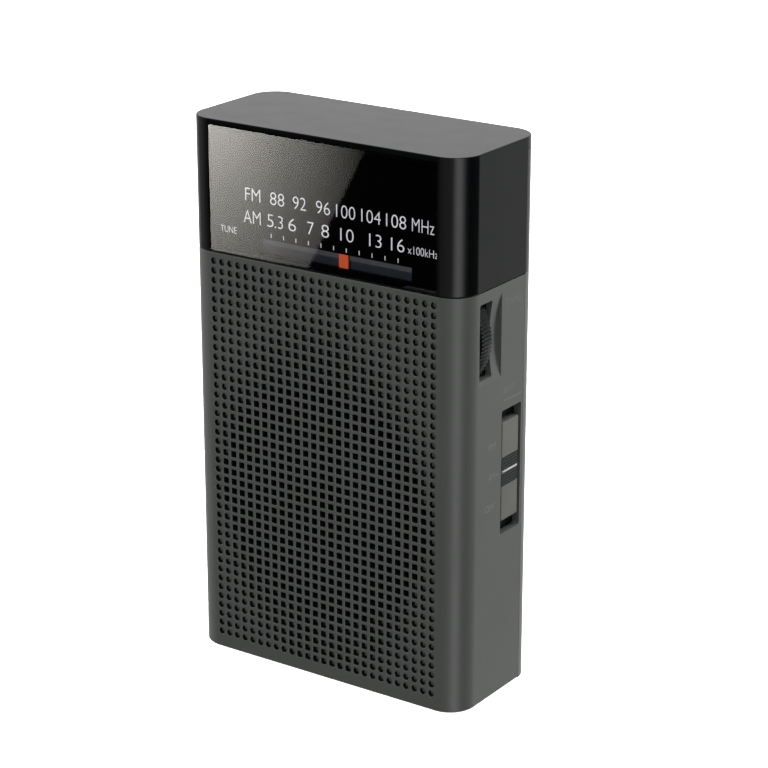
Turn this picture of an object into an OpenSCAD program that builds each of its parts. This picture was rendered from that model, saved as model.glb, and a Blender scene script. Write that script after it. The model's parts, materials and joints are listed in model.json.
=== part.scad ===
// Transistor pocket radio: AM/FM, two cells, loudspeaker behind a punched front.
// Millimetres. Origin at the middle of the cabinet's underside, +Z up, the dial faces -Y.

/* [Cabinet] */
// Width of the cabinet
body_w = 68.8; // [68.4:0.2:72]
// Depth of the cabinet without the aerial
body_d = 29.3; // [29:0.1:30]
// Height of the cabinet
body_h = 119; // [118:0.5:122]
// Radius of the four upright corners
corner_r = 6; // [4:0.5:7]
// Wall thickness of the mouldings
wall = 1.7; // [1.5:0.1:1.8]
// Height of the seam between the grey cabinet and the black cap
seam_z = 90.6; // [90.2:0.1:91]
// Distance from the front face back to the rear cabinet
split_depth = 23.5; // [22.5:0.5:24.5]

/* [Grille] */
// Distance between neighbouring holes
grille_pitch = 2.12; // [2:0.01:2.2]
// Holes in a row
grille_cols = 27; // [21:2:27]
// Rows of holes
grille_rows = 41; // [31:1:41]
// Side of a square hole that goes through
grille_square = 1.42; // [1:0.02:1.5]
// Half width of the oval in which the holes are square
oval_half_w = 27; // [26.5:0.5:28]
// Half height of the oval in which the holes are square
oval_half_h = 38; // [36:0.5:40]
// Depth of a blind hole beside the open ones
blind_depth = 1.45; // [1.2:0.05:1.45]
// Diameter of a round dimple outside the oval
dimple_dia = 1.46; // [1:0.02:1.5]
// Depth of a dimple
dimple_depth = 1; // [0.5:0.05:1.2]

/* [Speaker] */
// Outside diameter of the loudspeaker
speaker_dia = 57; // [55:0.5:57]
// Diameter of the area with open holes
speaker_open_dia = 52; // [40:1:52]
// Height of the loudspeaker's centre
speaker_z = 40; // [38:0.5:41]

/* [Dial] */
// Width of the dial window
window_w = 56.4; // [54:0.2:57]
// Rim of the cap above the window
window_rim = 1.2; // [1:0.1:1.6]
// Left end of the scale slot
slot_left = -16.7; // [-17:0.1:-16]
// Right end of the scale slot
slot_right = 21.4; // [21:0.1:22]
// Position of the pointer on the scale
pointer_x = 4.26; // [-13.4:0.02:18.1]

/* [Tuning] */
// Radius of the tuning wheel
wheel_r = 13.5; // [13.3:0.1:13.6]
// Thickness of the tuning wheel
wheel_t = 3.3; // [2.6:0.1:3.4]
// Height of the tuning wheel's axis
wheel_z = 80; // [79.5:0.1:80.2]
// How far the tuning wheel stands out of the side
wheel_proud = 0.6; // [0.4:0.1:1]
// Ridges round the tuning wheel
wheel_ridges = 100; // [60:2:120]
// Radius at which the cord runs round the drive drum
drum_r = 10; // [9.6:0.1:10]

/* [Volume] */
// Radius of the volume wheel
volume_r = 9; // [8.6:0.1:9.2]
// Height of the volume wheel's axis
volume_z = 76; // [75:0.5:77]

/* [Band switch] */
// Length of the sliding knob
knob_len = 21.8; // [20:0.2:22]
// Width of the sliding knob
knob_w = 6.4; // [5.6:0.2:6.6]
// Travel from the middle position to either end
knob_travel = 2.6; // [1:0.1:2.6]

/* [Aerial] */
// Outside diameter of the thickest tube
aerial_dia = 5; // [4.8:0.05:5.2]
// Length of one tube
tube_len = 40; // [34:0.5:40]

/* [Hidden] */

$fn = 64;
fine = 28;

// Cabinet planes
side_x = body_w / 2;
front_y = -body_d / 2;
rear_y = body_d / 2;
split_y = front_y + split_depth;
inner_x = side_x - wall;
inner_front = front_y + wall;
inner_rear = rear_y - wall;
seam_gap = 0.3;
part_gap = 0.1;
roof_t = 2.4;
roof_z = body_h - roof_t;
cap_low = seam_z + seam_gap / 2;
lower_top = seam_z - seam_gap / 2;

// Circuit board
board_t = 1.6;
board_front = front_y + 12.05;
board_rear = board_front + board_t;
board_half = inner_x - 1.5;
board_low = 36.8;
board_top = 114;
board_neck_z = 100;
board_neck_half = 27.4;
// Where the board is screwed down, as [x, z]
board_posts = [[28.5, 62], [-29.5, 65], [-8, 74]];
post_r = 2;
pilot_r = 0.9;

// Screws that hold the rear cabinet, as [x, z]: the first goes into the lower cabinet
lower_screw = [29, 18];
upper_screws = [[-30.3, 104], [30.3, 104]];
boss_r = 2.4;
boss_end_y = split_y;
well_r = 2.9;
well_bore_r = 2.3;
well_floor_y = split_y + 1.5;

// Loudspeaker
speaker_r = speaker_dia / 2;
felt_front = inner_front + 0.02;
felt_t = 0.38;
rim_front = felt_front + felt_t + 0.05;
rim_t = 0.8;
magnet_rear = front_y + 11.7;
magnet_r = 10.5;
clip_ring_r = speaker_r + 3;
clip_angles = [40, 140, 220, 320];
// A clip's screw, as [x, z]
function clip_at(a) = [clip_ring_r * cos(a), speaker_z + clip_ring_r * sin(a)];

// Dial
window_t = 1.4;
window_front = front_y + 0.05;
window_top = body_h - window_rim;
plate_front = window_front + window_t + 0.05;
plate_t = 0.6;
plate_rear = plate_front + plate_t;
slot_low = 91.9;
slot_high = 95;
blade_front = plate_rear + 0.1;
blade_t = 0.65;
chassis_front = blade_front + blade_t + 0.1;
chassis_t = 1;
chassis_rear = chassis_front + chassis_t;
chassis_low = 91.35;
chassis_high = 96;

// Cord drive: every circle is [x, z, radius of the cord's centre line]
cord_r = 0.25;
cord_y = front_y + 5.8;
pulley_z = 92;
pulley_cord_r = 2;
wheel_x = side_x + wheel_proud - wheel_r;
left_pulley = [-20, pulley_z, pulley_cord_r];
right_pulley = [28, pulley_z, pulley_cord_r];
drum = [wheel_x, wheel_z, drum_r];
groove_half = 0.35;
groove_gap = 0.05;
flange_rise = 0.4;

// Tuning wheel and its shaft
wheel_front = front_y + 7.23;
wheel_rear = wheel_front + wheel_t;
shaft_r = 2.5;
run_gap = 0.05;

// Volume wheel
volume_x = -(side_x + wheel_proud - volume_r);
volume_t = 2.4;
volume_front = board_front - 4.2;
volume_rear = volume_front + volume_t;
spindle_r = 1.5;

// Band switch
knob_z = 49.6;
knob_y = front_y + 19.05;
knob_face = side_x - 0.15;
knob_slot_len = 27.3;
knob_slot_w = 7.5;
flange_x0 = inner_x - 1.4;
flange_x1 = inner_x - 0.3;
actuator_z = 2;
actuator_y = [3, 5];

// Earphone jack
jack_y = 2.2;
jack_z = 58;
jack_bore_r = 1.8;
jack_nose_r = 3.2;
jack_depth = 12.2;

// Battery bay, its two cells and its door
bay_mid = -3.2;
bay_half = 27.6;
bay_wall = 1.2;
bay_front = front_y + 13.15;
bay_low = 4.4;
bay_high = 34.6;
cell_r = 7.15;
cell_len = 49.2;
nub_len = 1.3;
nub_r = 2.6;
cell_y = front_y + 20.39;
cell_low_z = 11.9;
cell_high_z = 26.9;
contact_t = 0.4;
door_half = 25.4;
door_low = 3.75;
door_high = 35;
door_t = 1.5;
door_gap = 0.2;
hinge_y = 13.3;
hinge_z = 5.3;
hinge_barrel_r = 1.05;
hinge_pin_r = 0.7;
hinge_pin_len = 0.9;

// Aerial
aerial_x = 22;
aerial_y = 17.7;
aerial_z = 109.5;
tube_wall = 0.34;
tube_step = 0.78;
tube_start = aerial_x - 5.5;
end_step = 0.6;
pivot_bore_r = 3.05;
collar_y = 11.5;
pivot_pin_r = 0.9;
ear_gap = 1.15;
ear_top = 2.6;
ear_r = 2.6;

// Wires
lead_r = 0.4;
// Routes of the wires that the cabinet holds, as [x, y, z]
speaker_route_a = [[-5, -7, 56], [-5, -5, 58.5], [-5, -3.2, 62]];
speaker_route_b = [[5, -7, 56], [5, -5, 58.5], [5, -3.2, 62]];
battery_route_a = [[-29.9, 4, 30], [-29.9, 4, 37.5], [-29.2, 1, 41.5], [-29, -0.4, 45]];
battery_route_b = [[-29.9, 11, 14], [-29.9, 11, 37.5], [-28.2, 4, 41], [-27, -0.4, 45]];
antenna_route = [[24.2, 10, 106], [25, 7, 103], [25, 2, 99], [25, -0.4, 97]];
wire_holes = [battery_route_a[1], battery_route_b[1]];

// Colours
grey_paint = [0.235, 0.25, 0.24];
cap_black = [0.09, 0.1, 0.105];
gloss_black = [0.03, 0.03, 0.03];
rail_grey = [0.42, 0.42, 0.44];
pointer_orange = [0.8, 0.32, 0.18];
knob_grey = [0.4, 0.4, 0.39];
board_green = [0.13, 0.34, 0.2];
steel = [0.7, 0.71, 0.72];
brass_yellow = [0.75, 0.6, 0.3];
part_black = [0.12, 0.12, 0.13];

// ---- Shapes that repeat ----

// A block between two opposite corners
module block(a, b) {
    translate(a) cube(b - a);
}

// A rod along X, Y or Z between two values of that axis
module rod_x(y, z, x0, x1, r) {
    translate([x0, y, z]) rotate([0, 90, 0]) cylinder(r = r, h = x1 - x0);
}

module rod_y(x, z, y0, y1, r) {
    translate([x, y0, z]) rotate([-90, 0, 0]) cylinder(r = r, h = y1 - y0);
}

module rod_z(x, y, z0, z1, r) {
    translate([x, y, z0]) cylinder(r = r, h = z1 - z0);
}

// The cabinet's outline seen from above, drawn in by g
module plan(g) {
    r = corner_r - g;
    half_w = side_x - g - r;
    half_d = rear_y - g - r;
    square([2 * (half_w + r), 2 * half_d], center = true);
    square([2 * half_w, 2 * (half_d + r)], center = true);
    for (sx = [-1, 1], sy = [-1, 1])
        translate([sx * half_w, sy * half_d]) circle(r);
}

// The cabinet's full block between two heights, drawn in by g
module plan_block(g, z0, z1) {
    translate([0, 0, z0]) linear_extrude(z1 - z0) plan(g);
}

// Everything in front of, or behind, the parting plane
module front_half() {
    block([-body_w, front_y - 1, -1], [body_w, split_y, body_h + 1]);
}

module rear_half() {
    block([-body_w, split_y + part_gap, -1], [body_w, rear_y + 1, roof_z - part_gap]);
}

// A profile of [radius, y] turned about an axis along Y
module turned_y(x, z) {
    translate([x, 0, z]) rotate([-90, 0, 0]) rotate_extrude() children();
}

// A screw along Y with its head towards +Y: thread from y0 to y1, then the head
module screw_y(at, y0, y1, shank_r, head_r, head_h) {
    difference() {
        union() {
            rod_y(at[0], at[1], y0, y1, shank_r);
            rod_y(at[0], at[1], y1, y1 + head_h, head_r);
        }
        cross_recess(at, y1 + head_h, head_r);
    }
}

// The driver's cross in a screw head whose face is at y
module cross_recess(at, y, head_r) {
    arm = head_r * 0.62;
    slot = 0.25;
    deep = 0.45;
    for (s = [[arm, slot], [slot, arm]])
        block([at[0] - s[0], y - deep, at[1] - s[1]], [at[0] + s[0], y + 1, at[1] + s[1]]);
}

// A tube of few flat sides swept along points; up is square to no stretch of the route
module swept_tube(points, r, up, closed) {
    n = len(points);
    sides = 8;
    spans = closed ? n : n - 1;
    function near(i) = closed ? points[(i + n) % n] : points[min(max(i, 0), n - 1)];
    function ring(i) =
        let (t = near(i + 1) - near(i - 1), u = cross(t, up) / norm(cross(t, up)),
             w = cross(u, t) / norm(t))
        [for (k = [0 : sides - 1])
            points[i] + r * (cos(k * 360 / sides) * u + sin(k * 360 / sides) * w)];
    function at(i, k) = (i % n) * sides + k % sides;
    skin = [for (i = [0 : spans - 1], k = [0 : sides - 1])
            each [[at(i, k), at(i, k + 1), at(i + 1, k)],
                  [at(i, k + 1), at(i + 1, k + 1), at(i + 1, k)]]];
    ends = closed ? [] : [[for (k = [sides - 1 : -1 : 0]) at(0, k)],
                          [for (k = [0 : sides - 1]) at(n - 1, k)]];
    polyhedron([for (i = [0 : n - 1]) each ring(i)], concat(skin, ends));
}

// A wire through a list of points that bends up and down and to the rear
module wire(points, r) {
    swept_tube(points, r, [1, 0, 0], false);
}

// A disc of ridges, as a thumbwheel has: an outline that steps in and out n times
module ridged_disc(r, n, ridge) {
    polygon([for (i = [0 : 2 * n - 1]) let (a = i * 180 / n, q = i % 2 == 0 ? r : r - ridge)
             [q * cos(a), q * sin(a)]]);
}

// ---- Cabinet ----

// Holes in the front: square and open over the speaker, square and blind about it, then round
module grille_holes() {
    top_row_z = 88.56;
    margin = 0.5;
    half = grille_square / 2;
    fade = [0.8, 1.1];
    for (i = [0 : grille_cols - 1], j = [0 : grille_rows - 1]) {
        x = (i - (grille_cols - 1) / 2) * grille_pitch;
        z = top_row_z - j * grille_pitch;
        out = norm([x / oval_half_w, (z - speaker_z) / oval_half_h]);
        open = norm([x, z - speaker_z]) < speaker_open_dia / 2;
        share = min(max((out - fade[0]) / (fade[1] - fade[0]), 0), 1);
        depth = open ? wall + margin : blind_depth + share * (dimple_depth - blind_depth);
        if (open || out < 1)
            block([x - half, front_y - margin, z - half], [x + half, front_y + depth, z + half]);
        else
            rod_y(x, z, front_y - margin, front_y + depth, dimple_dia / 2, $fn = 16);
    }
}

// The finger scoop round the tuning wheel and the slot that the wheel comes out of
module tuning_slot() {
    scoop_r = 43;
    scoop_depth = 0.95;
    scoop_z = 79.8;
    rod_y(side_x - scoop_depth + scoop_r, scoop_z, front_y + 6.5, front_y + 14.7, scoop_r,
          $fn = 180);
    block([inner_x - 1, front_y + 6.85, 71.9], [side_x + 1, front_y + 11.5, 88]);
}

// The slot of the sliding knob, with round corners
module knob_slot() {
    r = 0.5;
    z0 = knob_z - knob_slot_len / 2;
    z1 = knob_z + knob_slot_len / 2;
    y0 = knob_y - knob_slot_w / 2;
    y1 = knob_y + knob_slot_w / 2;
    x0 = inner_x - 1;
    x1 = side_x + 1;
    block([x0, y0 + r, z0], [x1, y1 - r, z1]);
    block([x0, y0, z0 + r], [x1, y1, z1 - r]);
    for (y = [y0 + r, y1 - r], z = [z0 + r, z1 - r])
        rod_x(y, z, x0, x1, r, $fn = fine);
}

module volume_slot() {
    half_z = 6.7;
    gap = 0.3;
    block([-side_x - 1, volume_front - gap, volume_z - half_z],
          [-inner_x + 1, volume_rear + gap, volume_z + half_z]);
}

// A post that stands on the inside of the front
module front_post(at, y1, r) {
    rod_y(at[0], at[1], inner_front - 0.5, y1, r);
}

module front_cabinet() {
    locating_ring_r = speaker_r + 0.3;
    color(grey_paint) difference() {
        union() {
            difference() {
                intersection() {
                    plan_block(0, 0, lower_top);
                    front_half();
                }
                plan_block(wall, wall, body_h);
            }
            difference() {
                rod_y(0, speaker_z, inner_front - 0.5, rim_front + rim_t,
                      locating_ring_r + 0.8);
                rod_y(0, speaker_z, inner_front - 1, rim_front + 2, locating_ring_r);
            }
            for (p = board_posts) front_post(p, board_front, post_r);
            for (a = clip_angles) front_post(clip_at(a), rim_front + rim_t, post_r);
            front_post(lower_screw, boss_end_y, boss_r);
        }
        grille_holes();
        tuning_slot();
        knob_slot();
        volume_slot();
        rod_x(jack_y, jack_z, -side_x - 1, -inner_x + 1, jack_nose_r + 0.1);
        for (p = board_posts) rod_y(p[0], p[1], board_front - 6, board_front + 1, pilot_r);
        for (a = clip_angles)
            rod_y(clip_at(a)[0], clip_at(a)[1], inner_front + 0.1, rim_front + 3, 0.65);
        rod_y(lower_screw[0], lower_screw[1], -5, boss_end_y + 1, pilot_r + 0.15);
    }
}

module upper_cap() {
    lip_h = 1.5;
    lip_gap = 0.1;
    lip_t = 0.8;
    web = 1;
    half = window_w / 2;
    color(cap_black) difference() {
        union() {
            difference() {
                plan_block(0, cap_low, body_h);
                plan_block(wall, cap_low - 1, roof_z);
                block([-body_w, split_y, cap_low - 1], [body_w, rear_y + 1, roof_z]);
            }
            intersection() {
                difference() {
                    plan_block(wall + lip_gap, lower_top - lip_h + 0.2, cap_low + 0.5);
                    plan_block(wall + lip_gap + lip_t, 0, body_h);
                    block([-half - 1, front_y, 0], [half + 1, 0, body_h]);
                }
                front_half();
            }
            for (sx = [-1, 1])
                block([sx * (inner_x + 0.05) - 0.15, -10, cap_low],
                      [sx * (inner_x + 0.05) + 0.15, split_y - 1, cap_low + 0.6]);
            for (p = upper_screws) {
                rod_y(p[0], p[1], -11, boss_end_y, boss_r);
                block([min(p[0], sign(p[0]) * (inner_x + 0.5)), -11, p[1] - web],
                      [max(p[0], sign(p[0]) * (inner_x + 0.5)), boss_end_y, p[1] + web]);
            }
        }
        block([-half - part_gap, front_y - 1, 0],
              [half + part_gap, plate_front, window_top + 0.05]);
        block([-half - part_gap, front_y - 1, 0],
              [half + part_gap, inner_front + 0.05, roof_z]);
        for (p = upper_screws) rod_y(p[0], p[1], -8, boss_end_y + 1, pilot_r + 0.15);
    }
}

// The open-backed box that holds the cells
module battery_bay() {
    x0 = bay_mid - bay_half;
    x1 = bay_mid + bay_half;
    difference() {
        intersection() {
            block([x0 - bay_wall, bay_front - 1, bay_low - bay_wall],
                  [x1 + bay_wall, rear_y, bay_high + bay_wall]);
            plan_block(wall / 2, 0, body_h);
        }
        block([x0, bay_front, bay_low], [x1, inner_rear, bay_high]);
    }
}

// The rear wall's opening for the battery door
module door_opening() {
    block([bay_mid - door_half, bay_front, door_low],
          [bay_mid + door_half, rear_y + 1, door_high]);
}

module rear_cabinet() {
    lug = 1.9;
    rest_x = [-18, -14];
    notch_r = 6;
    collar_r = 5;
    color(grey_paint) difference() {
        union() {
            difference() {
                intersection() {
                    plan_block(0, 0, body_h);
                    rear_half();
                }
                plan_block(wall, wall, body_h);
            }
            battery_bay();
            for (sx = [-1, 1])
                block([bay_mid + sx * (door_half + 1.2) - 1.2, hinge_y - lug / 2, hinge_z - lug],
                      [bay_mid + sx * (door_half + 1.2) + 1.2, inner_rear + 0.3, hinge_z + lug]);
            for (p = concat([lower_screw], upper_screws))
                intersection() {
                    rod_y(p[0], p[1], boss_end_y + part_gap, rear_y, well_r);
                    plan_block(wall / 2, 0, body_h);
                }
            rod_y(aerial_x, aerial_z, collar_y, inner_rear + 0.5, collar_r);
            block([rest_x[0], inner_rear + 0.5, aerial_z - aerial_dia / 2 - 2.1],
                  [rest_x[1], aerial_y + 0.8, aerial_z - aerial_dia / 2 - part_gap]);
        }
        door_opening();
        for (p = concat([lower_screw], upper_screws)) {
            rod_y(p[0], p[1], 0, rear_y + 1, 1.3);
            rod_y(p[0], p[1], well_floor_y, rear_y + 1, well_bore_r);
        }
        rod_y(aerial_x, aerial_z, 0, rear_y + 1, pivot_bore_r);
        rod_x(hinge_y, hinge_z, bay_mid - door_half - hinge_pin_len - 0.15,
              bay_mid + door_half + hinge_pin_len + 0.15, hinge_pin_r + run_gap);
        translate([bay_mid, rear_y + notch_r - 0.8, door_high]) sphere(r = notch_r);
        for (p = wire_holes) rod_z(p[0], p[1], bay_high - 1, bay_high + bay_wall + 1, lead_r + 0.4);
    }
}

module battery_door() {
    half = door_half - door_gap;
    grip_n = 5;
    grip_pitch = 1.6;
    grip_half = 7;
    top = door_high - door_gap;
    color(grey_paint) union() {
        difference() {
            intersection() {
                block([bay_mid - half, rear_y - door_t, hinge_z],
                      [bay_mid + half, rear_y, top]);
                plan_block(0, 0, body_h);
            }
            for (i = [0 : grip_n - 1])
                block([bay_mid - grip_half, rear_y - 0.3, top - 3 - i * grip_pitch],
                      [bay_mid + grip_half, rear_y + 1, top - 2.2 - i * grip_pitch]);
        }
        rod_x(hinge_y, hinge_z, bay_mid - half, bay_mid + half, hinge_barrel_r);
        rod_x(hinge_y, hinge_z, bay_mid - door_half - hinge_pin_len,
              bay_mid + door_half + hinge_pin_len, hinge_pin_r);
    }
}

// ---- Dial ----

module dial_window() {
    color(gloss_black)
        block([-window_w / 2, window_front, cap_low + 0.15],
              [window_w / 2, window_front + window_t, window_top]);
}

module dial_plate() {
    half = window_w / 2 - 0.2;
    color(gloss_black) difference() {
        block([-half, plate_front, cap_low + 0.35], [half, plate_rear, roof_z - 0.2]);
        block([slot_left, plate_front - 1, slot_low], [slot_right, plate_rear + 1, slot_high]);
    }
}

// The rail behind the scale slot, with the two pulley pins and the pegs to the dial plate
module dial_chassis() {
    x0 = left_pulley[0] - 2.5;
    x1 = right_pulley[0] + 2.5;
    pin_r = 0.7;
    peg_r = 0.8;
    pin_end = cord_y + 0.9;
    step_z = (slot_low + slot_high) / 2;
    step_depth = 0.3;
    color(rail_grey) union() {
        difference() {
            block([x0, chassis_front, chassis_low], [x1, chassis_rear, chassis_high]);
            block([x0 + 4, chassis_front - 1, chassis_low - 1],
                  [x1 - 4, chassis_front + step_depth, step_z]);
        }
        for (p = [left_pulley, right_pulley]) {
            rod_y(p[0], p[1], chassis_rear - 0.2, pin_end, pin_r);
            rod_y(p[0], p[1], pin_end, pin_end + 0.3, pin_r + 0.4);
        }
        for (x = [x0 + 1.2, x1 - 1.2], z = [chassis_low + 1.1, chassis_high - 1.1])
            rod_y(x, z, plate_rear, chassis_front + 0.2, peg_r);
    }
}

module dial_pointer() {
    half = 1.15;
    clip_half = 2;
    arm_z = [chassis_high + 0.2, chassis_high + 1.2];
    blade_low = slot_low - 0.3;
    clip_y = [cord_y - 0.8, cord_y + 0.8];
    cord_z = pulley_z + pulley_cord_r;
    color(pointer_orange) difference() {
        union() {
            block([pointer_x - half, blade_front, blade_low],
                  [pointer_x + half, blade_front + blade_t, arm_z[1]]);
            block([pointer_x - half, blade_front, arm_z[0]],
                  [pointer_x + half, clip_y[1], arm_z[1]]);
            block([pointer_x - clip_half, clip_y[0], cord_z - 0.9],
                  [pointer_x + clip_half, clip_y[1], arm_z[1]]);
        }
        rod_x(cord_y, cord_z, pointer_x - clip_half - 1, pointer_x + clip_half + 1,
              cord_r + 0.1);
    }
}

// Angle of the outer common tangent from circle a to circle b, on the loop's outside
function tangent_angle(a, b) =
    atan2(b[1] - a[1], b[0] - a[0]) + acos((a[2] - b[2]) / norm([b[0] - a[0], b[1] - a[1]]));
function on_circle(c, angle) = [c[0] + c[2] * cos(angle), c[1] + c[2] * sin(angle)];

// Points along the cord's arc round circle c, clockwise between two tangent angles
function arc_points(c, arrive, leave, n) =
    let (sweep = (arrive - leave + 720) % 360)
    [for (i = [0 : n]) let (p = on_circle(c, arrive - sweep * i / n)) [p[0], cord_y, p[1]]];

module dial_cord() {
    loop = [left_pulley, right_pulley, drum];
    arc_steps = [10, 6, 16];
    n = len(loop);
    color("ivory") swept_tube([for (i = [0 : n - 1])
        each arc_points(loop[i], tangent_angle(loop[(i + n - 1) % n], loop[i]),
                        tangent_angle(loop[i], loop[(i + 1) % n]), arc_steps[i])],
        cord_r, [0, 1, 0], true);
}

// A grooved pulley's profile as [radius, y]: the groove clears the cord all round
module groove_profile(bore, cord_at, y0, y1) {
    bottom = cord_at - cord_r - groove_gap;
    rim = cord_at + flange_rise;
    polygon([[bore, y0], [rim, y0], [rim, cord_y - groove_half], [bottom, cord_y - groove_half],
             [bottom, cord_y + groove_half], [rim, cord_y + groove_half], [rim, y1],
             [bore, y1]]);
}

module cord_pulley(at) {
    color("white") turned_y(at[0], at[1])
        groove_profile(0.75, pulley_cord_r, cord_y - 0.85, cord_y + 0.85);
}

module cord_pulley_left() {
    cord_pulley(left_pulley);
}

module cord_pulley_right() {
    cord_pulley(right_pulley);
}

// ---- Tuning ----

module tuning_wheel() {
    ridge = 0.28;
    dish_r = 11;
    dish_depth = 0.5;
    color(part_black) difference() {
        translate([wheel_x, wheel_rear, wheel_z]) rotate([90, 0, 0])
            linear_extrude(wheel_t) ridged_disc(wheel_r, wheel_ridges, ridge);
        rod_y(wheel_x, wheel_z, wheel_front - 1, wheel_rear + 1, shaft_r + 0.02);
        rod_y(wheel_x, wheel_z, wheel_rear - dish_depth, wheel_rear + 1, dish_r);
    }
}

module drive_drum() {
    color("white") turned_y(wheel_x, wheel_z)
        groove_profile(1.05, drum_r, cord_y - 0.9, wheel_front - 0.02);
}

module tuning_shaft() {
    color(brass_yellow) difference() {
        rod_y(wheel_x, wheel_z, wheel_front, board_rear + 5, shaft_r);
        rod_y(wheel_x, wheel_z, wheel_front - 1, wheel_front + 5, 1.05);
    }
}

module tuning_screw() {
    face = cord_y - 0.92;
    color(steel) difference() {
        union() {
            rod_y(wheel_x, wheel_z, face, wheel_front + 4.5, 1);
            rod_y(wheel_x, wheel_z, face - 0.8, face, 2.3);
        }
        mirror([0, 1, 0]) cross_recess([wheel_x, wheel_z], -(face - 0.8), 2.3);
    }
}

module tuning_capacitor() {
    half = 10;
    y0 = board_rear + 0.05;
    y1 = board_rear + 9.8;
    chamfer = 2;
    color("white") difference() {
        translate([wheel_x, y1, wheel_z]) rotate([90, 0, 0]) linear_extrude(y1 - y0)
            polygon([[-half + chamfer, -half], [half - chamfer, -half], [half, -half + chamfer],
                     [half, half - chamfer], [half - chamfer, half], [-half + chamfer, half],
                     [-half, half - chamfer], [-half, -half + chamfer]]);
        rod_y(wheel_x, wheel_z, y0 - 1, board_rear + 5.2, shaft_r + run_gap);
        for (sx = [-1, 1], sz = [-1, 1])
            rod_y(wheel_x + sx * 7, wheel_z + sz * 7, y1 - 1, y1 + 1, 1.2);
    }
}

// ---- Volume ----

module volume_wheel() {
    ridge = 0.28;
    n = 66;
    color(part_black) difference() {
        union() {
            translate([volume_x, volume_rear, volume_z]) rotate([90, 0, 0])
                linear_extrude(volume_t) ridged_disc(volume_r, n, ridge);
            rod_y(volume_x, volume_z, volume_rear - 0.5, volume_rear + 1.2, spindle_r);
        }
        rod_y(volume_x, volume_z, volume_front - 1, volume_front + 2.8, 0.85);
    }
}

module volume_screw() {
    face = volume_front - 0.02;
    head_h = 0.8;
    head_r = 2;
    color(steel) difference() {
        union() {
            rod_y(volume_x, volume_z, face, volume_front + 2.6, 0.8);
            rod_y(volume_x, volume_z, face - head_h, face, head_r);
        }
        mirror([0, 1, 0]) cross_recess([volume_x, volume_z], -(face - head_h), head_r);
    }
}

module volume_control() {
    y0 = volume_rear + 0.2;
    y1 = board_front - 0.05;
    tag_w = 1.2;
    color([0.28, 0.22, 0.16]) difference() {
        union() {
            rod_y(volume_x, volume_z, y0, y1, 6.5);
            for (i = [-1 : 1])
                block([volume_x + i * 3 - tag_w / 2, y0 + 0.5, volume_z - 8],
                      [volume_x + i * 3 + tag_w / 2, y1, volume_z - 4]);
        }
        rod_y(volume_x, volume_z, y0 - 1, y1 + 1, spindle_r + run_gap);
    }
}

// ---- Band switch ----

module band_switch_knob() {
    half_len = knob_len / 2;
    half_w = knob_w / 2;
    flange_half_z = knob_slot_len / 2 + knob_travel + 1;
    flange_half_y = knob_slot_w / 2 + 0.6;
    rib_n = 5;
    rib_pitch = 0.62;
    prong = 1.3;
    prong_y = [2.4, 5.6];
    prong_gap = actuator_z / 2 + 0.1;
    color(knob_grey) difference() {
        union() {
            block([flange_x0, knob_y - half_w, knob_z - half_len],
                  [knob_face, knob_y + half_w, knob_z + half_len]);
            block([flange_x0, knob_y - flange_half_y, knob_z - flange_half_z],
                  [flange_x1, knob_y + flange_half_y, knob_z + flange_half_z]);
            for (s = [-1, 1]) {
                za = knob_z + s * prong_gap;
                zb = knob_z + s * (prong_gap + prong);
                block([flange_x0 - 2.8, prong_y[0], min(za, zb)],
                      [flange_x0 + 0.2, prong_y[1], max(za, zb)]);
            }
        }
        for (s = [-1, 1], i = [0 : rib_n - 1])
            block([knob_face - 0.25, knob_y - half_w - 1,
                   knob_z + s * (0.55 + i * rib_pitch) - 0.17],
                  [knob_face + 1, knob_y + half_w + 1,
                   knob_z + s * (0.55 + i * rib_pitch) + 0.17]);
    }
}

module switch_actuator() {
    color(part_black)
        block([24, actuator_y[0], knob_z - actuator_z / 2],
              [flange_x0 - 0.3, actuator_y[1], knob_z + actuator_z / 2]);
}

module band_switch() {
    y0 = board_rear + 0.05;
    y1 = board_rear + 7;
    slot_half_z = actuator_z / 2 + knob_travel + 0.3;
    color(steel) difference() {
        union() {
            block([19.5, y0, knob_z - 8.5], [27.2, y1, knob_z + 8.5]);
            for (s = [-1, 1])
                block([21.5, y0, knob_z + s * 9.2 - 0.8], [25, y0 + 0.6, knob_z + s * 9.2 + 0.8]);
        }
        block([23, actuator_y[0] - 0.2, knob_z - slot_half_z],
              [28, actuator_y[1] + 0.2, knob_z + slot_half_z]);
    }
}

// ---- Earphone jack ----

module earphone_jack() {
    body_x = -inner_x + 0.3;
    color(part_black) difference() {
        union() {
            block([body_x, board_rear + 0.05, jack_z - 3.6],
                  [body_x + 12.5, jack_y + 3.4, jack_z + 3.6]);
            rod_x(jack_y, jack_z, -side_x + 0.1, body_x + 1, jack_nose_r);
        }
        rod_x(jack_y, jack_z, -side_x - 1, -side_x + 0.1 + jack_depth, jack_bore_r);
    }
}

// ---- Circuit board and what is on it ----

module main_board() {
    arch_half = magnet_r + 2.5;
    arch_top = 52;
    arch_cut = 6;
    notch_half = 5;
    color(board_green) difference() {
        translate([0, board_rear, 0]) rotate([90, 0, 0]) linear_extrude(board_t)
            polygon([[-board_half, board_low], [-arch_half, board_low],
                     [-arch_half, arch_top - arch_cut], [-arch_half + arch_cut, arch_top],
                     [arch_half - arch_cut, arch_top], [arch_half, arch_top - arch_cut],
                     [arch_half, board_low], [board_half, board_low],
                     [board_half, board_neck_z], [board_neck_half, board_neck_z],
                     [board_neck_half, board_top], [-board_neck_half, board_top],
                     [-board_neck_half, board_neck_z], [-board_half, board_neck_z]]);
        rod_y(wheel_x, wheel_z, board_front - 1, board_rear + 1, 4);
        for (p = board_posts) rod_y(p[0], p[1], board_front - 1, board_rear + 1, 1.2);
        block([-board_half - 1, board_front - 1, board_low - 1],
              [-board_half + notch_half, board_rear + 1, board_low + notch_half]);
    }
}

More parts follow.
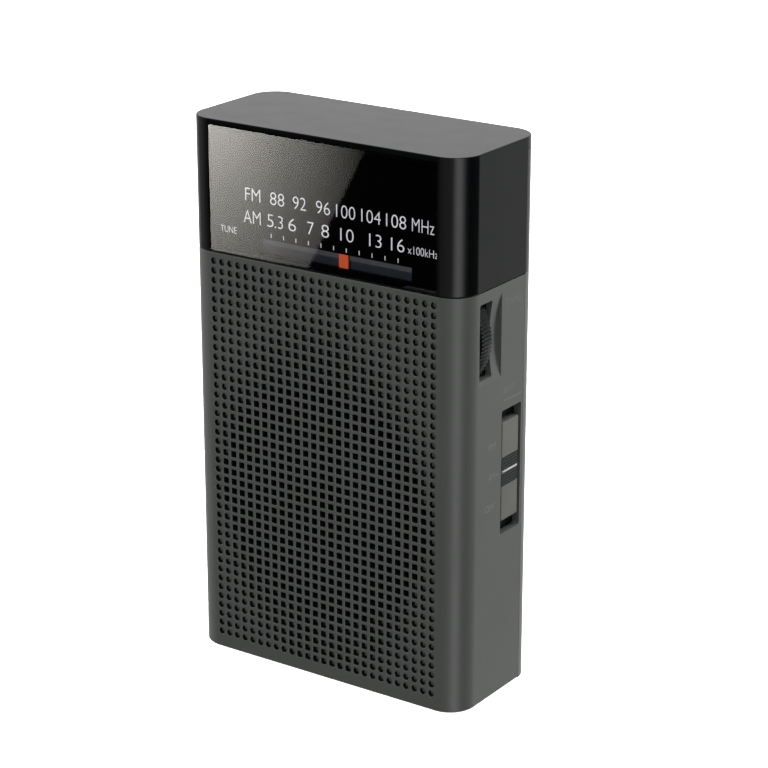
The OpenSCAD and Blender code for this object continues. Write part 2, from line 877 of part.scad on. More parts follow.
ferrite_y = 5.2;
ferrite_z = 111.5;
ferrite_r = 4;
ferrite_x = [-28, 20];

module ferrite_rod() {
    color([0.2, 0.2, 0.21]) rod_x(ferrite_y, ferrite_z, ferrite_x[0], ferrite_x[1], ferrite_r);
}

// The winding: a sleeve with a bead for each group of turns
module ferrite_coil() {
    x0 = -14;
    turns = 22;
    wire_r = 0.28;
    coil_r = ferrite_r + 0.05 + wire_r;
    color([0.72, 0.4, 0.2]) difference() {
        translate([x0, ferrite_y, ferrite_z]) rotate([0, 90, 0]) rotate_extrude() union() {
            square([coil_r, turns * 2 * wire_r]);
            for (i = [0 : turns - 1]) translate([coil_r, (2 * i + 1) * wire_r])
                circle(wire_r, $fn = 16);
        }
        rod_x(ferrite_y, ferrite_z, x0 - 1, x0 + 30, ferrite_r + 0.05);
    }
}

module ferrite_holders() {
    thick = 3;
    reach = ferrite_r + 0.9;
    color("white") for (x = [-25, 8]) difference() {
        union() {
            block([x, board_rear + 0.05, ferrite_z - 3], [x + thick, ferrite_y, ferrite_z + 2]);
            rod_x(ferrite_y, ferrite_z, x, x + thick, reach);
        }
        rod_x(ferrite_y, ferrite_z, x - 1, x + thick + 1, ferrite_r + 0.03);
        block([x - 1, ferrite_y + 2.5, ferrite_z - 6], [x + thick + 1, ferrite_y + 9,
                                                        ferrite_z + 6]);
    }
}

module radio_chip() {
    at = [-16, 84];
    size = [7.5, 17.9];
    legs = 14;
    leg_pitch = 1.27;
    y0 = board_rear + 0.05;
    color(part_black) union() {
        block([at[0] - size[0] / 2, y0 + 0.15, at[1] - size[1] / 2],
              [at[0] + size[0] / 2, y0 + 2.4, at[1] + size[1] / 2]);
        for (i = [0 : legs - 1], s = [-1, 1]) {
            z = at[1] + (i - (legs - 1) / 2) * leg_pitch;
            block([at[0] + s * (size[0] / 2 + 0.6) - 0.8, y0, z - 0.2],
                  [at[0] + s * (size[0] / 2 + 0.6) + 0.8, y0 + 0.8, z + 0.2]);
        }
    }
}

module electrolytic_capacitors() {
    // Each can as [x, z, radius, length]
    cans = [[2, 84, 3.15, 11], [2, 92.5, 2.5, 7], [-22, 98, 2.5, 7], [-25, 86, 3.15, 9]];
    color([0.15, 0.2, 0.42]) for (c = cans)
        turned_y(c[0], c[1]) polygon([[0, board_rear + 0.05], [c[2], board_rear + 0.05],
            [c[2], board_rear + 0.9], [c[2] - 0.25, board_rear + 1.2],
            [c[2], board_rear + 1.5], [c[2], board_rear + c[3]], [0, board_rear + c[3]]]);
}

module tuning_coils() {
    half = 3.6;
    high = 7.5;
    color(steel) for (at = [[-10, 99], [0, 101], [10, 99]]) difference() {
        block([at[0] - half, board_rear + 0.05, at[1] - half],
              [at[0] + half, board_rear + high, at[1] + half]);
        rod_y(at[0], at[1], board_rear + high - 1.5, board_rear + high + 1, 1.9);
    }
}

module tuning_led() {
    at = [-25.4, 94];
    front = plate_rear + 0.1;
    r = 1.5;
    collar_r = 1.9;
    base = front + 4.4;
    color([0.5, 0.08, 0.06]) {
        turned_y(at[0], at[1]) polygon(concat([[0, base]],
            [for (a = [0 : 15 : 90]) [r * sin(a), front + r - r * cos(a)]],
            [[r, base - 0.8], [collar_r, base - 0.8], [collar_r, base]]));
        for (s = [-1, 1])
            rod_y(at[0] + s * 0.65, at[1], base + 0.02, board_front - 0.02, 0.25, $fn = 16);
    }
}

module board_screws() {
    color(steel) for (p = board_posts)
        screw_y(p, board_front - 5, board_rear + 0.02, 0.85, 1.9, 1.2);
}

// ---- Loudspeaker ----

module speaker_felt() {
    color("black") rod_y(0, speaker_z, felt_front, felt_front + felt_t, speaker_r - 0.5);
}

module speaker_frame() {
    hub_r = magnet_r - 1.5;
    hub_y = magnet_rear - 3.9;
    sheet = 0.7;
    waist_r = speaker_r - 3.5;
    slots = 6;
    color(steel) difference() {
        turned_y(0, speaker_z) polygon([[waist_r, rim_front], [speaker_r, rim_front],
            [speaker_r, rim_front + rim_t], [waist_r + 0.6, rim_front + rim_t],
            [hub_r + 4, hub_y + sheet], [4.2, hub_y + sheet], [4.2, hub_y],
            [hub_r + 3.6, hub_y], [waist_r, rim_front + rim_t - 0.1]]);
        for (i = [0 : slots - 1]) translate([0, 0, speaker_z]) rotate([0, 60 * i + 30, 0])
            block([hub_r + 5.5, rim_front + 1.6, -3.6], [waist_r - 1, hub_y - 0.3, 3.6]);
    }
}

module speaker_cone() {
    edge_r = speaker_r - 3.6;
    skin = 0.3;
    dome_y = magnet_rear - 5.6;
    cap_r = 6.4;
    color([0.1, 0.1, 0.1]) turned_y(0, speaker_z) polygon([[0, dome_y - 1.4],
        [cap_r - 2.4, dome_y - 1.1], [cap_r, dome_y], [edge_r - 3, rim_front + 0.8],
        [edge_r - 1.5, rim_front + 0.3], [edge_r, rim_front + 0.4],
        [edge_r, rim_front + 0.4 + skin], [edge_r - 1.5, rim_front + 0.3 + skin],
        [edge_r - 3, rim_front + 0.8 + skin], [cap_r, dome_y + skin],
        [cap_r - 2.4, dome_y - 1.1 + skin], [0, dome_y - 1.4 + skin]]);
}

module speaker_magnet() {
    front = magnet_rear - 3.15;
    color([0.33, 0.33, 0.35]) turned_y(0, speaker_z) polygon([[0, front], [magnet_r - 1.4, front],
        [magnet_r - 1.4, front + 0.8], [magnet_r, front + 0.8], [magnet_r, magnet_rear - 0.7],
        [magnet_r - 1, magnet_rear - 0.7], [magnet_r - 1, magnet_rear], [0, magnet_rear]]);
}

module speaker_clips() {
    thick = 0.5;
    y0 = rim_front + rim_t + 0.02;
    color(steel) for (a = clip_angles) translate([0, 0, speaker_z]) rotate([0, -a, 0])
        difference() {
            union() {
                block([speaker_r - 1.6, y0, -1.6], [clip_ring_r, y0 + thick, 1.6]);
                rod_y(clip_ring_r, 0, y0, y0 + thick, 1.6);
            }
            rod_y(clip_ring_r, 0, y0 - 1, y0 + thick + 1, 0.75);
        }
}

module speaker_screws() {
    y1 = rim_front + rim_t + 0.54;
    color(steel) for (a = clip_angles)
        screw_y(clip_at(a), inner_front + 0.2, y1, 0.6, 1.4, 0.8);
}

// ---- Fasteners of the cabinet ----

module cabinet_screws() {
    color(part_black) for (p = concat([lower_screw], upper_screws))
        screw_y(p, -3, well_floor_y + 0.02, 1, 2.1, 1.4);
}

// ---- Battery bay ----

// A cell along X: dir is +1 when its positive end points to +X
module cell(z, dir) {
    end_x = bay_mid + dir * (bay_half - contact_t - 0.3);
    base_x = end_x - dir * nub_len;
    tail_x = base_x - dir * cell_len;
    color([0.1, 0.2, 0.42]) union() {
        rod_x(cell_y, z, min(base_x, tail_x), max(base_x, tail_x), cell_r);
        rod_x(cell_y, z, min(base_x, end_x) - 0.01, max(base_x, end_x) + 0.01, nub_r);
    }
}

module battery_cell_lower() {
    cell(cell_low_z, 1);
}

module battery_cell_upper() {
    cell(cell_high_z, -1);
}

// A coned spring as a stack of turns, from the contact plate to the cell's flat end
module spring(z, dir) {
    plate_x = bay_mid - dir * (bay_half - contact_t - 0.07);
    tail_x = bay_mid + dir * (bay_half - contact_t - 0.3 - nub_len - cell_len);
    long = abs(tail_x - plate_x) - 0.05;
    turns = 4;
    wire_r = long / turns / 2;
    translate([plate_x, cell_y, z]) rotate([0, dir * 90, 0]) rotate_extrude() difference() {
        for (i = [0 : turns - 1]) {
            translate([4.4 - i * 0.55, (2 * i + 1) * wire_r]) circle(wire_r, $fn = 16);
            if (i < turns - 1)
                translate([3.95 - i * 0.55, (2 * i + 1.6) * wire_r])
                    square([0.3, 0.8 * wire_r]);
        }
    }
}

module battery_springs() {
    color(steel) {
        spring(cell_low_z, 1);
        spring(cell_high_z, -1);
    }
}

contact_half = 5.6;

// The plate that joins the two cells at their right-hand ends
module contact_bridge() {
    x1 = bay_mid + bay_half - 0.05;
    color(steel) block([x1 - contact_t, cell_y - contact_half, cell_low_z - contact_half],
                       [x1, cell_y + contact_half, cell_high_z + contact_half]);
}

// The two plates at the left-hand ends, one for each pole
module contact_terminals() {
    x0 = bay_mid - bay_half + 0.05;
    color(steel) for (z = [cell_low_z, cell_high_z])
        block([x0, cell_y - contact_half, z - contact_half],
              [x0 + contact_t, cell_y + contact_half, z + contact_half]);
}

// ---- Wires that the cabinet holds ----

module speaker_leads() {
    color("firebrick") {
        wire(speaker_route_a, lead_r);
        wire(speaker_route_b, lead_r);
    }
}

module battery_leads() {
    color("firebrick") {
        wire(battery_route_a, lead_r);
        wire(battery_route_b, lead_r);
    }
}

module antenna_lead() {
    color("black") wire(antenna_route, lead_r);
}

// ---- Aerial ----

// The post that turns in the rear wall, with the two ears of the tilt joint
module antenna_swivel() {
    flange_r = 4.2;
    flange_y = [rear_y + 0.1, rear_y + 0.8];
    color(steel) difference() {
        union() {
            rod_y(aerial_x, aerial_z, collar_y - 0.15, flange_y[0] + 0.1, pivot_bore_r - run_gap);
            rod_y(aerial_x, aerial_z, flange_y[0], flange_y[1], flange_r);
            for (s = [-1, 1]) {
                za = aerial_z + s * ear_gap;
                zb = aerial_z + s * ear_top;
                rod_z(aerial_x, aerial_y, min(za, zb), max(za, zb), ear_r);
                block([aerial_x - ear_r, flange_y[0] + 0.3, min(za, zb)],
                      [aerial_x + ear_r, aerial_y, max(za, zb)]);
            }
        }
        rod_z(aerial_x, aerial_y, aerial_z - 5, aerial_z + 5, pivot_pin_r + 0.02);
        rod_y(aerial_x, aerial_z, collar_y - 1, rear_y - 0.4, 1.05);
    }
}

module antenna_pin() {
    color(steel) rod_z(aerial_x, aerial_y, aerial_z - ear_top - 0.2, aerial_z + ear_top + 0.2,
                       pivot_pin_r);
}

module antenna_washer() {
    color(brass_yellow) difference() {
        union() {
            rod_y(aerial_x, aerial_z, collar_y - 0.77, collar_y - 0.17, 4.6);
            block([aerial_x + 0.8, collar_y - 0.77, aerial_z - 6.4],
                  [aerial_x + 3, collar_y - 0.17, aerial_z - 3]);
        }
        rod_y(aerial_x, aerial_z, 0, rear_y, 1.25);
    }
}

module antenna_screw() {
    face = collar_y - 0.79;
    head_h = 1.1;
    color(steel) difference() {
        union() {
            rod_y(aerial_x, aerial_z, face, rear_y - 0.8, 1);
            rod_y(aerial_x, aerial_z, face - head_h, face, 2.2);
        }
        mirror([0, 1, 0]) cross_recess([aerial_x, aerial_z], -(face - head_h), 2.2);
    }
}

// The tongue between the ears, with the plug that the first tube is crimped on
module antenna_knuckle() {
    tongue = ear_gap - 0.1;
    tongue_r = 2.1;
    neck_half = 1.7;
    shoulder_r = 2.15;
    plug_r = aerial_dia / 2 - tube_wall - 0.02;
    color(steel) difference() {
        union() {
            rod_z(aerial_x, aerial_y, aerial_z - tongue, aerial_z + tongue, tongue_r);
            block([tube_start + 1, aerial_y - neck_half, aerial_z - tongue],
                  [aerial_x, aerial_y + neck_half, aerial_z + tongue]);
            rod_x(aerial_y, aerial_z, tube_start + 0.02, tube_start + 1.6, shoulder_r);
            rod_x(aerial_y, aerial_z, tube_start - 1.5, tube_start + 0.1, plug_r);
        }
        rod_z(aerial_x, aerial_y, aerial_z - 5, aerial_z + 5, pivot_pin_r + run_gap);
    }
}

// Tube i of the mast, counted from 0 at the knuckle; the last one is a solid rod
module mast_tube(i) {
    last = 5;
    r = (aerial_dia - tube_step * i) / 2;
    plug_len = 1.6;
    x1 = tube_start - (i == 0 ? 0 : plug_len + 0.3 * i);
    x0 = tube_start - tube_len - end_step * i;
    color(steel) difference() {
        rod_x(aerial_y, aerial_z, x0, x1, r);
        if (i < last) rod_x(aerial_y, aerial_z, x0 - 1, x1 + 1, r - tube_wall);
    }
}

module antenna_section_1() {
    mast_tube(0);
}

module antenna_section_2() {
    mast_tube(1);
}

module antenna_section_3() {
    mast_tube(2);
}

module antenna_section_4() {
    mast_tube(3);
}

module antenna_section_5() {
    mast_tube(4);
}

module antenna_section_6() {
    mast_tube(5);
}

module antenna_tip() {
    x1 = tube_start - tube_len - end_step * 5 - 0.02;
    cap_len = 3.6;
    cap_r = 2.2;
    color(steel) translate([x1, aerial_y, aerial_z]) rotate([0, -90, 0]) rotate_extrude()
        polygon([[0, 0], [cap_r - 0.5, 0], [cap_r, 0.5], [cap_r, cap_len - 0.9],
                 [cap_r - 0.6, cap_len], [0, cap_len]]);
}

front_cabinet();
upper_cap();
rear_cabinet();
battery_door();
dial_window();
dial_plate();
dial_chassis();
dial_pointer();
dial_cord();
cord_pulley_left();
cord_pulley_right();
tuning_wheel();
drive_drum();
tuning_shaft();
tuning_screw();
tuning_capacitor();
volume_wheel();
volume_screw();
volume_control();
band_switch_knob();
switch_actuator();
band_switch();
earphone_jack();
main_board();
ferrite_rod();
ferrite_coil();
ferrite_holders();
radio_chip();
electrolytic_capacitors();
tuning_coils();
tuning_led();
speaker_felt();
speaker_frame();
speaker_cone();
speaker_magnet();
speaker_clips();
speaker_screws();
board_screws();
cabinet_screws();
battery_cell_upper();
battery_cell_lower();
battery_springs();
contact_bridge();
contact_terminals();
speaker_leads();
battery_leads();
antenna_lead();
antenna_swivel();
antenna_pin();
antenna_washer();
antenna_screw();
antenna_knuckle();
antenna_section_1();
antenna_section_2();
antenna_section_3();
antenna_section_4();
antenna_section_5();
antenna_section_6();
antenna_tip();
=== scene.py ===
import json
import math

import bmesh
import bpy
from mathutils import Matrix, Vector


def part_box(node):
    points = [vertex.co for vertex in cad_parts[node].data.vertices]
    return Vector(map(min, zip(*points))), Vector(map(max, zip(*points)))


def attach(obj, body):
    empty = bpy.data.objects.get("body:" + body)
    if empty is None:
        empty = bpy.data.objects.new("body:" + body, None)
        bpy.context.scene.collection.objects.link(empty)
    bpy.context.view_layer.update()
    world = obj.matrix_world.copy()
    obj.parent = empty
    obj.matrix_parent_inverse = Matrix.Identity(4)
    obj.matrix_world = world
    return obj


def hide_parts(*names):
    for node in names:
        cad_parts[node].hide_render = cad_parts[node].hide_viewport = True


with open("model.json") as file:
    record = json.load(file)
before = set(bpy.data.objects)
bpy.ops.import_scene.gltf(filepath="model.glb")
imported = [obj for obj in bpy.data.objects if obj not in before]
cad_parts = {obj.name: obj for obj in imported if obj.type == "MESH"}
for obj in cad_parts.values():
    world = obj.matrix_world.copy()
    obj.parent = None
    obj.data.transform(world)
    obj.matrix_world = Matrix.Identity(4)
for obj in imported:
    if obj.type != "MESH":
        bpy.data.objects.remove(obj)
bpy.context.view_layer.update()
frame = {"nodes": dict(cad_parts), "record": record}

# The looks of a transistor pocket radio. Metres; lengths given in millimetres are times MM.
MM = 0.001
nodes = frame["nodes"]
CABINET = "cabinet"
TAU = 2 * math.pi


# ---------------------------------------------------------------- places from the frame

cap_low, cap_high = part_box("upper_cap")
lower_low, lower_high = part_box("front_cabinet")
window_low, window_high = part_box("dial_window")
plate_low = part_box("dial_plate")[0]
wheel_low, wheel_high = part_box("tuning_wheel")
volume_low, volume_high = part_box("volume_wheel")
knob_low, knob_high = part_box("band_switch_knob")
jack_low, jack_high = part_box("earphone_jack")

SIDE_X = cap_high.x
FRONT_Y = cap_low.y
REAR_Y = cap_high.y
TOP_Z = cap_high.z
SPLIT_Y = lower_high.y
CORNER_R = 6 * MM
WALL = 1.7 * MM
ROOF = 2.4 * MM


# ---------------------------------------------------------------- mesh helpers

def new_object(name, mesh):
    obj = bpy.data.objects.new(name, mesh)
    bpy.context.scene.collection.objects.link(obj)
    return obj


def mesh_object(name, verts, faces):
    mesh = bpy.data.meshes.new(name)
    mesh.from_pydata([tuple(v) for v in verts], [], faces)
    mesh.validate()
    bm = bmesh.new()
    bm.from_mesh(mesh)
    bmesh.ops.recalc_face_normals(bm, faces=bm.faces)
    bm.to_mesh(mesh)
    bm.free()
    return new_object(name, mesh)


def loft(name, rings, closed=True):
    """A skin over rings of as many points each, with flat ends when closed."""
    n = len(rings[0])
    verts = [p for ring in rings for p in ring]
    faces = []
    for i in range(len(rings) - 1):
        for k in range(n):
            a, b = i * n + k, i * n + (k + 1) % n
            faces.append((a, b, b + n, a + n))
    if closed:
        faces.append(tuple(range(n - 1, -1, -1)))
        faces.append(tuple(range((len(rings) - 1) * n, len(rings) * n)))
    return mesh_object(name, verts, faces)


def rounded_rect(x0, x1, y0, y1, r, steps=12):
    """Points round a rectangle with round corners, anticlockwise from the lower right."""
    points = []
    for cx, cy, start in ((x1 - r, y0 + r, -90), (x1 - r, y1 - r, 0),
                          (x0 + r, y1 - r, 90), (x0 + r, y0 + r, 180)):
        for i in range(steps + 1):
            a = math.radians(start + 90 * i / steps)
            points.append((cx + r * math.cos(a), cy + r * math.sin(a)))
    return points


def place(points, axis, level):
    """2D points put in the plane at level along an axis: z keeps (x, y), y takes (x, z), x (y, z)."""
    if axis == "z":
        return [Vector((a, b, level)) for a, b in points]
    if axis == "y":
        return [Vector((a, level, b)) for a, b in points]
    return [Vector((level, a, b)) for a, b in points]


def slab(name, u, v, w, axis, r=0.3 * MM, edge=0.15 * MM, steps=5):
    """A plate with round corners seen along axis and small rounded edges at both of its faces."""
    rings = []
    low, high = w
    for level, inset in ((low, edge), (low + 0.3 * edge, 0.3 * edge), (low + edge, 0),
                         (high - edge, 0), (high - 0.3 * edge, 0.3 * edge), (high, edge)):
        shape = rounded_rect(u[0] + inset, u[1] - inset, v[0] + inset, v[1] - inset,
                             max(r - inset, 0.02 * MM), steps)
        rings.append(place(shape, axis, level))
    return loft(name, rings)


def block(name, low, high):
    """A plain box, used only to cut other shapes."""
    x0, y0, z0 = low
    x1, y1, z1 = high
    return loft(name, [[Vector((x0, y0, z)), Vector((x1, y0, z)), Vector((x1, y1, z)),
                        Vector((x0, y1, z))] for z in (z0, z1)])


def turned(name, profile, centre, axis, steps=64, caps=True):
    """A profile of (radius, place along axis) turned round an axis through centre."""
    rings = []
    for radius, level in profile:
        circle = [(radius * math.cos(TAU * k / steps), radius * math.sin(TAU * k / steps))
                  for k in range(steps)]
        if axis == "z":
            rings.append([Vector((centre[0] + a, centre[1] + b, level)) for a, b in circle])
        elif axis == "y":
            rings.append([Vector((centre[0] + a, level, centre[2] + b)) for a, b in circle])
        else:
            rings.append([Vector((level, centre[1] + a, centre[2] + b)) for a, b in circle])
    return loft(name, rings, caps)


def ring_loop(name, rings):
    """A skin over rings in which the last ring joins the first, such as a tube or a wheel."""
    n, m = len(rings[0]), len(rings)
    verts = [p for ring in rings for p in ring]
    faces = []
    for i in range(m):
        for k in range(n):
            a, b = i * n + k, i * n + (k + 1) % n
            c, d = ((i + 1) % m) * n + (k + 1) % n, ((i + 1) % m) * n + k
            faces.append((a, b, c, d))
    return mesh_object(name, verts, faces)


def tube(name, profile, centre, axis, steps=64):
    """A closed profile of (radius, place along axis) turned into a ring."""
    rings = []
    for radius, level in profile:
        rings.append([on_axis(radius, TAU * k / steps, level, centre, axis)
                      for k in range(steps)])
    return ring_loop(name, rings)


def on_axis(radius, angle, level, centre, axis):
    a, b = radius * math.cos(angle), radius * math.sin(angle)
    if axis == "z":
        return Vector((centre[0] + a, centre[1] + b, level))
    if axis == "y":
        return Vector((centre[0] + a, level, centre[2] + b))
    return Vector((level, centre[1] + a, centre[2] + b))


def ridged_wheel(name, centre, r, y, count, ridge, bore, dish_r, dish):
    """A thumb wheel: ridges with flat crests, chamfered rims and a dished rear face."""
    chamfer = 0.35 * MM
    shares = ((0.0, 0.12), (0.12, 0), (0.24, 0.12), (0.42, 1), (0.82, 1))

    def rim(inset, level):
        ring = []
        for k in range(count):
            for share, low in shares:
                angle = TAU * (k + share) / count
                ring.append(on_axis(r - inset - low * ridge, angle, level, centre, "y"))
        return ring

    def round_ring(radius, level):
        return [on_axis(radius, TAU * (k + share) / count, level, centre, "y")
                for k in range(count) for share, _ in shares]

    flat = r - ridge - chamfer
    rings = [round_ring(bore, y[0]), round_ring(flat, y[0]),
             rim(0.6 * chamfer, y[0] + 0.25 * chamfer), rim(0, y[0] + chamfer),
             rim(0, y[1] - chamfer), rim(0.6 * chamfer, y[1] - 0.25 * chamfer),
             round_ring(flat, y[1]), round_ring(dish_r, y[1]),
             round_ring(dish_r - 0.3 * MM, y[1] - dish), round_ring(bore, y[1] - dish)]
    return ring_loop(name, rings)


def softened(node, width=0.12 * MM, angle=30, segments=2):
    """A copy of a CAD part with its flat faces merged and its edges rounded over."""
    bm = bmesh.new()
    bm.from_mesh(nodes[node].data)
    bmesh.ops.remove_doubles(bm, verts=bm.verts, dist=0.0005 * MM)
    bmesh.ops.dissolve_limit(bm, angle_limit=math.radians(0.6), verts=bm.verts,
                             edges=bm.edges, delimit={"NORMAL"})
    sharp = [e for e in bm.edges if len(e.link_faces) == 2
             and e.calc_face_angle(0) > math.radians(angle)]
    bmesh.ops.bevel(bm, geom=sharp, offset=width, offset_type="OFFSET", segments=segments,
                    profile=0.5, affect="EDGES", clamp_overlap=True)
    mesh = bpy.data.meshes.new(node + "_detail")
    bm.to_mesh(mesh)
    bm.free()
    return new_object(node + "_detail", mesh)


def join(objects, name):
    """One object out of several, without using the operators."""
    bm = bmesh.new()
    for obj in objects:
        bm.from_mesh(obj.data)
        remove(obj)
    mesh = bpy.data.meshes.new(name)
    bm.to_mesh(mesh)
    bm.free()
    return new_object(name, mesh)


def remove(obj):
    mesh = obj.data
    bpy.data.objects.remove(obj)
    if mesh.users == 0:
        bpy.data.meshes.remove(mesh)


def settle(obj):
    """Applies the object's modifiers to its mesh."""
    bpy.context.view_layer.update()
    graph = bpy.context.evaluated_depsgraph_get()
    mesh = bpy.data.meshes.new_from_object(obj.evaluated_get(graph), depsgraph=graph)
    old = obj.data
    obj.modifiers.clear()
    obj.data = mesh
    mesh.name = obj.name
    bpy.data.meshes.remove(old)


def cut(obj, tool):
    """Cuts tool out of obj and deletes the tool."""
    mod = obj.modifiers.new("cut", "BOOLEAN")
    mod.operation = "DIFFERENCE"
    mod.object = tool
    mod.solver = "MANIFOLD"
    settle(obj)
    remove(tool)
    if not obj.data.polygons:
        raise RuntimeError(f"{obj.name} vanished in a boolean")


def smooth(obj, angle=32):
    """Smooth shading that keeps edges sharper than angle and lets large faces stay flat."""
    mesh = obj.data
    mesh.polygons.foreach_set("use_smooth", [True] * len(mesh.polygons))
    mesh.set_sharp_from_angle(angle=math.radians(angle))
    mod = obj.modifiers.new("weighted", "WEIGHTED_NORMAL")
    mod.keep_sharp = True
    mod.weight = 90
    mesh.update()


def finish_piece(obj, body, material, replaced=(), angle=32):
    smooth(obj, angle)
    obj.data.materials.clear()
    obj.data.materials.append(material)
    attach(obj, body)
    if replaced:
        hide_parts(*replaced)
    return obj


# ---------------------------------------------------------------- materials

def srgb(value):
    value /= 255
    return value / 12.92 if value <= 0.04045 else ((value + 0.055) / 1.055) ** 2.4


def tone(r, g, b):
    return (srgb(r), srgb(g), srgb(b), 1)


class Nodes:
    """A short way to build a material's node tree."""

    def __init__(self, name):
        self.material = bpy.data.materials.new(name)
        self.material.use_nodes = True
        self.tree = self.material.node_tree
        self.shader = self.tree.nodes["Principled BSDF"]
        self.coords = self.new("ShaderNodeTexCoord").outputs["Object"]

    def new(self, kind, **values):
        node = self.tree.nodes.new(kind)
        for key, value in values.items():
            setattr(node, key, value)
        return node

    def link(self, a, b):
        self.tree.links.new(a, b)

    def noise(self, scale, detail=3.0, roughness=0.5, stretch=None):
        node = self.new("ShaderNodeTexNoise")
        node.inputs["Scale"].default_value = scale
        node.inputs["Detail"].default_value = detail
        node.inputs["Roughness"].default_value = roughness
        source = self.coords
        if stretch:
            mapping = self.new("ShaderNodeMapping")
            mapping.inputs["Scale"].default_value = stretch
            self.link(source, mapping.inputs["Vector"])
            source = mapping.outputs["Vector"]
        self.link(source, node.inputs["Vector"])
        return node.outputs["Fac"]

    def ramp(self, fac, stops, interpolation="LINEAR"):
        node = self.new("ShaderNodeValToRGB")
        node.color_ramp.interpolation = interpolation
        elements = node.color_ramp.elements
        while len(elements) < len(stops):
            elements.new(0.5)
        for element, (at, colour) in zip(elements, stops):
            element.position = at
            element.color = colour
        self.link(fac, node.inputs["Fac"])
        return node.outputs["Color"]

    def spread(self, fac, low, high, start=0.3, end=0.7):
        node = self.new("ShaderNodeMapRange")
        node.inputs["From Min"].default_value = start
        node.inputs["From Max"].default_value = end
        node.inputs["To Min"].default_value = low
        node.inputs["To Max"].default_value = high
        self.link(fac, node.inputs["Value"])
        return node.outputs["Result"]

    def bump(self, height, depth, strength=1.0):
        node = self.new("ShaderNodeBump")
        node.inputs["Strength"].default_value = strength
        node.inputs["Distance"].default_value = depth
        self.link(height, node.inputs["Height"])
        self.link(node.outputs["Normal"], self.shader.inputs["Normal"])

    def colour(self, output):
        self.link(output, self.shader.inputs["Base Color"])

    def rough(self, output):
        self.link(output, self.shader.inputs["Roughness"])

    def set(self, **values):
        for key, value in values.items():
            self.shader.inputs[key.replace("_", " ")].default_value = value


def moulded(name, base, rough, grain=2600, depth=0.006 * MM, vary=0.08, coat=0.0, spec=0.5):
    """Moulded plastic: a fine texture, slow changes of tone and patches of handling sheen."""
    n = Nodes(name)
    slow = n.noise(45, 4)
    fine = n.noise(grain, 2)
    dark = tuple(c * (1 - vary) for c in base[:3]) + (1,)
    light = tuple(min(c * (1 + vary), 1) for c in base[:3]) + (1,)
    n.colour(n.ramp(slow, ((0.3, dark), (0.7, light))))
    n.rough(n.spread(n.noise(160, 5), rough - 0.05, rough + 0.06))
    n.bump(fine, depth)
    n.set(Coat_Weight=coat, Coat_Roughness=0.12, Specular_IOR_Level=spec)
    return n.material


def metal(name, base, rough, brushed=None, scratch=0.0015 * MM):
    """Metal with fine marks along its working direction."""
    n = Nodes(name)
    marks = n.noise(900, 4, 0.6, brushed)
    dark = tuple(c * 0.82 for c in base[:3]) + (1,)
    n.colour(n.ramp(marks, ((0.3, dark), (0.75, base))))
    n.rough(n.spread(marks, max(rough - 0.05, 0.03), rough + 0.1))
    n.bump(marks, scratch)
    n.set(Metallic=1.0)
    return n.material


def lacquer(name, base, rough, metallic, grain, depth, vary=0.05):
    """Sprayed satin lacquer: flakes in the colour, orange peel and slight rub marks."""
    n = Nodes(name)
    flakes = n.noise(grain, 2, 0.7)
    patches = n.noise(38, 4)
    both = n.new("ShaderNodeMath", operation="ADD")
    n.link(flakes, both.inputs[0])
    n.link(patches, both.inputs[1])
    dark = tuple(c * (1 - vary) for c in base[:3]) + (1,)
    light = tuple(c * (1 + vary) for c in base[:3]) + (1,)
    half = n.new("ShaderNodeMath", operation="MULTIPLY")
    half.inputs[1].default_value = 0.5
    n.link(both.outputs["Value"], half.inputs[0])
    n.colour(n.ramp(half.outputs["Value"], ((0.35, dark), (0.65, light))))
    n.rough(n.spread(n.noise(140, 5), rough - 0.03, rough + 0.04))
    n.bump(n.noise(grain * 0.5, 2), depth)
    n.set(Metallic=metallic)
    return n.material


MAT = {}
MAT["grey_body"] = lacquer("grey_body", tone(73, 75, 73), 0.33, 0.0, 5200, 0.0012 * MM)
MAT["black_cap"] = moulded("black_cap", tone(8, 9, 10), 0.15, grain=3000, depth=0.0003 * MM)
MAT["knob_dark"] = moulded("knob_dark", tone(40, 42, 44), 0.4, depth=0.002 * MM)
MAT["flange_black"] = moulded("flange_black", tone(15, 16, 17), 0.45, depth=0.002 * MM)
# Painted light and painted shade for the grille holes: a lighter grey on the blind holes' floors, a
# near-black on the holes' walls.
MAT["hole_floor_painted_light"] = lacquer("hole_floor_painted_light", tone(118, 120, 118), 0.45, 0.0, 5200, 0.0012 * MM)
MAT["hole_wall_painted_shade"] = moulded("hole_wall_painted_shade", tone(15, 15, 16), 0.7, depth=0.003 * MM, spec=0.2)
MAT["dial_black"] = moulded("dial_black", tone(4, 4, 5), 0.35, grain=1500, depth=0.001 * MM,
                            spec=0.1)
MAT["pointer_orange"] = moulded("pointer_orange", tone(214, 92, 58), 0.4, depth=0.002 * MM)
MAT["white_plastic"] = moulded("white_plastic", tone(226, 225, 218), 0.45)
MAT["wheel_black"] = moulded("wheel_black", tone(17, 18, 19), 0.22, depth=0.001 * MM)
MAT["knob_grey"] = moulded("knob_grey", tone(82, 82, 79), 0.38, depth=0.002 * MM)
MAT["phenolic"] = moulded("phenolic", tone(94, 72, 48), 0.55, grain=900, vary=0.18)
MAT["ferrite"] = moulded("ferrite", tone(62, 62, 65), 0.62, grain=1400, depth=0.012 * MM)
MAT["chip_black"] = moulded("chip_black", tone(36, 36, 38), 0.6, grain=2400)
MAT["can_blue"] = moulded("can_blue", tone(36, 52, 108), 0.3, depth=0.002 * MM)
MAT["led_red"] = moulded("led_red", tone(150, 24, 20), 0.12, depth=0.001 * MM)
MAT["cone_paper"] = moulded("cone_paper", tone(46, 45, 44), 0.85, grain=700, depth=0.03 * MM)
MAT["cell_jacket"] = moulded("cell_jacket", tone(38, 70, 128), 0.25, depth=0.001 * MM)
MAT["lead_red"] = moulded("lead_red", tone(150, 34, 28), 0.45)
MAT["lead_black"] = moulded("lead_black", tone(30, 30, 31), 0.45)
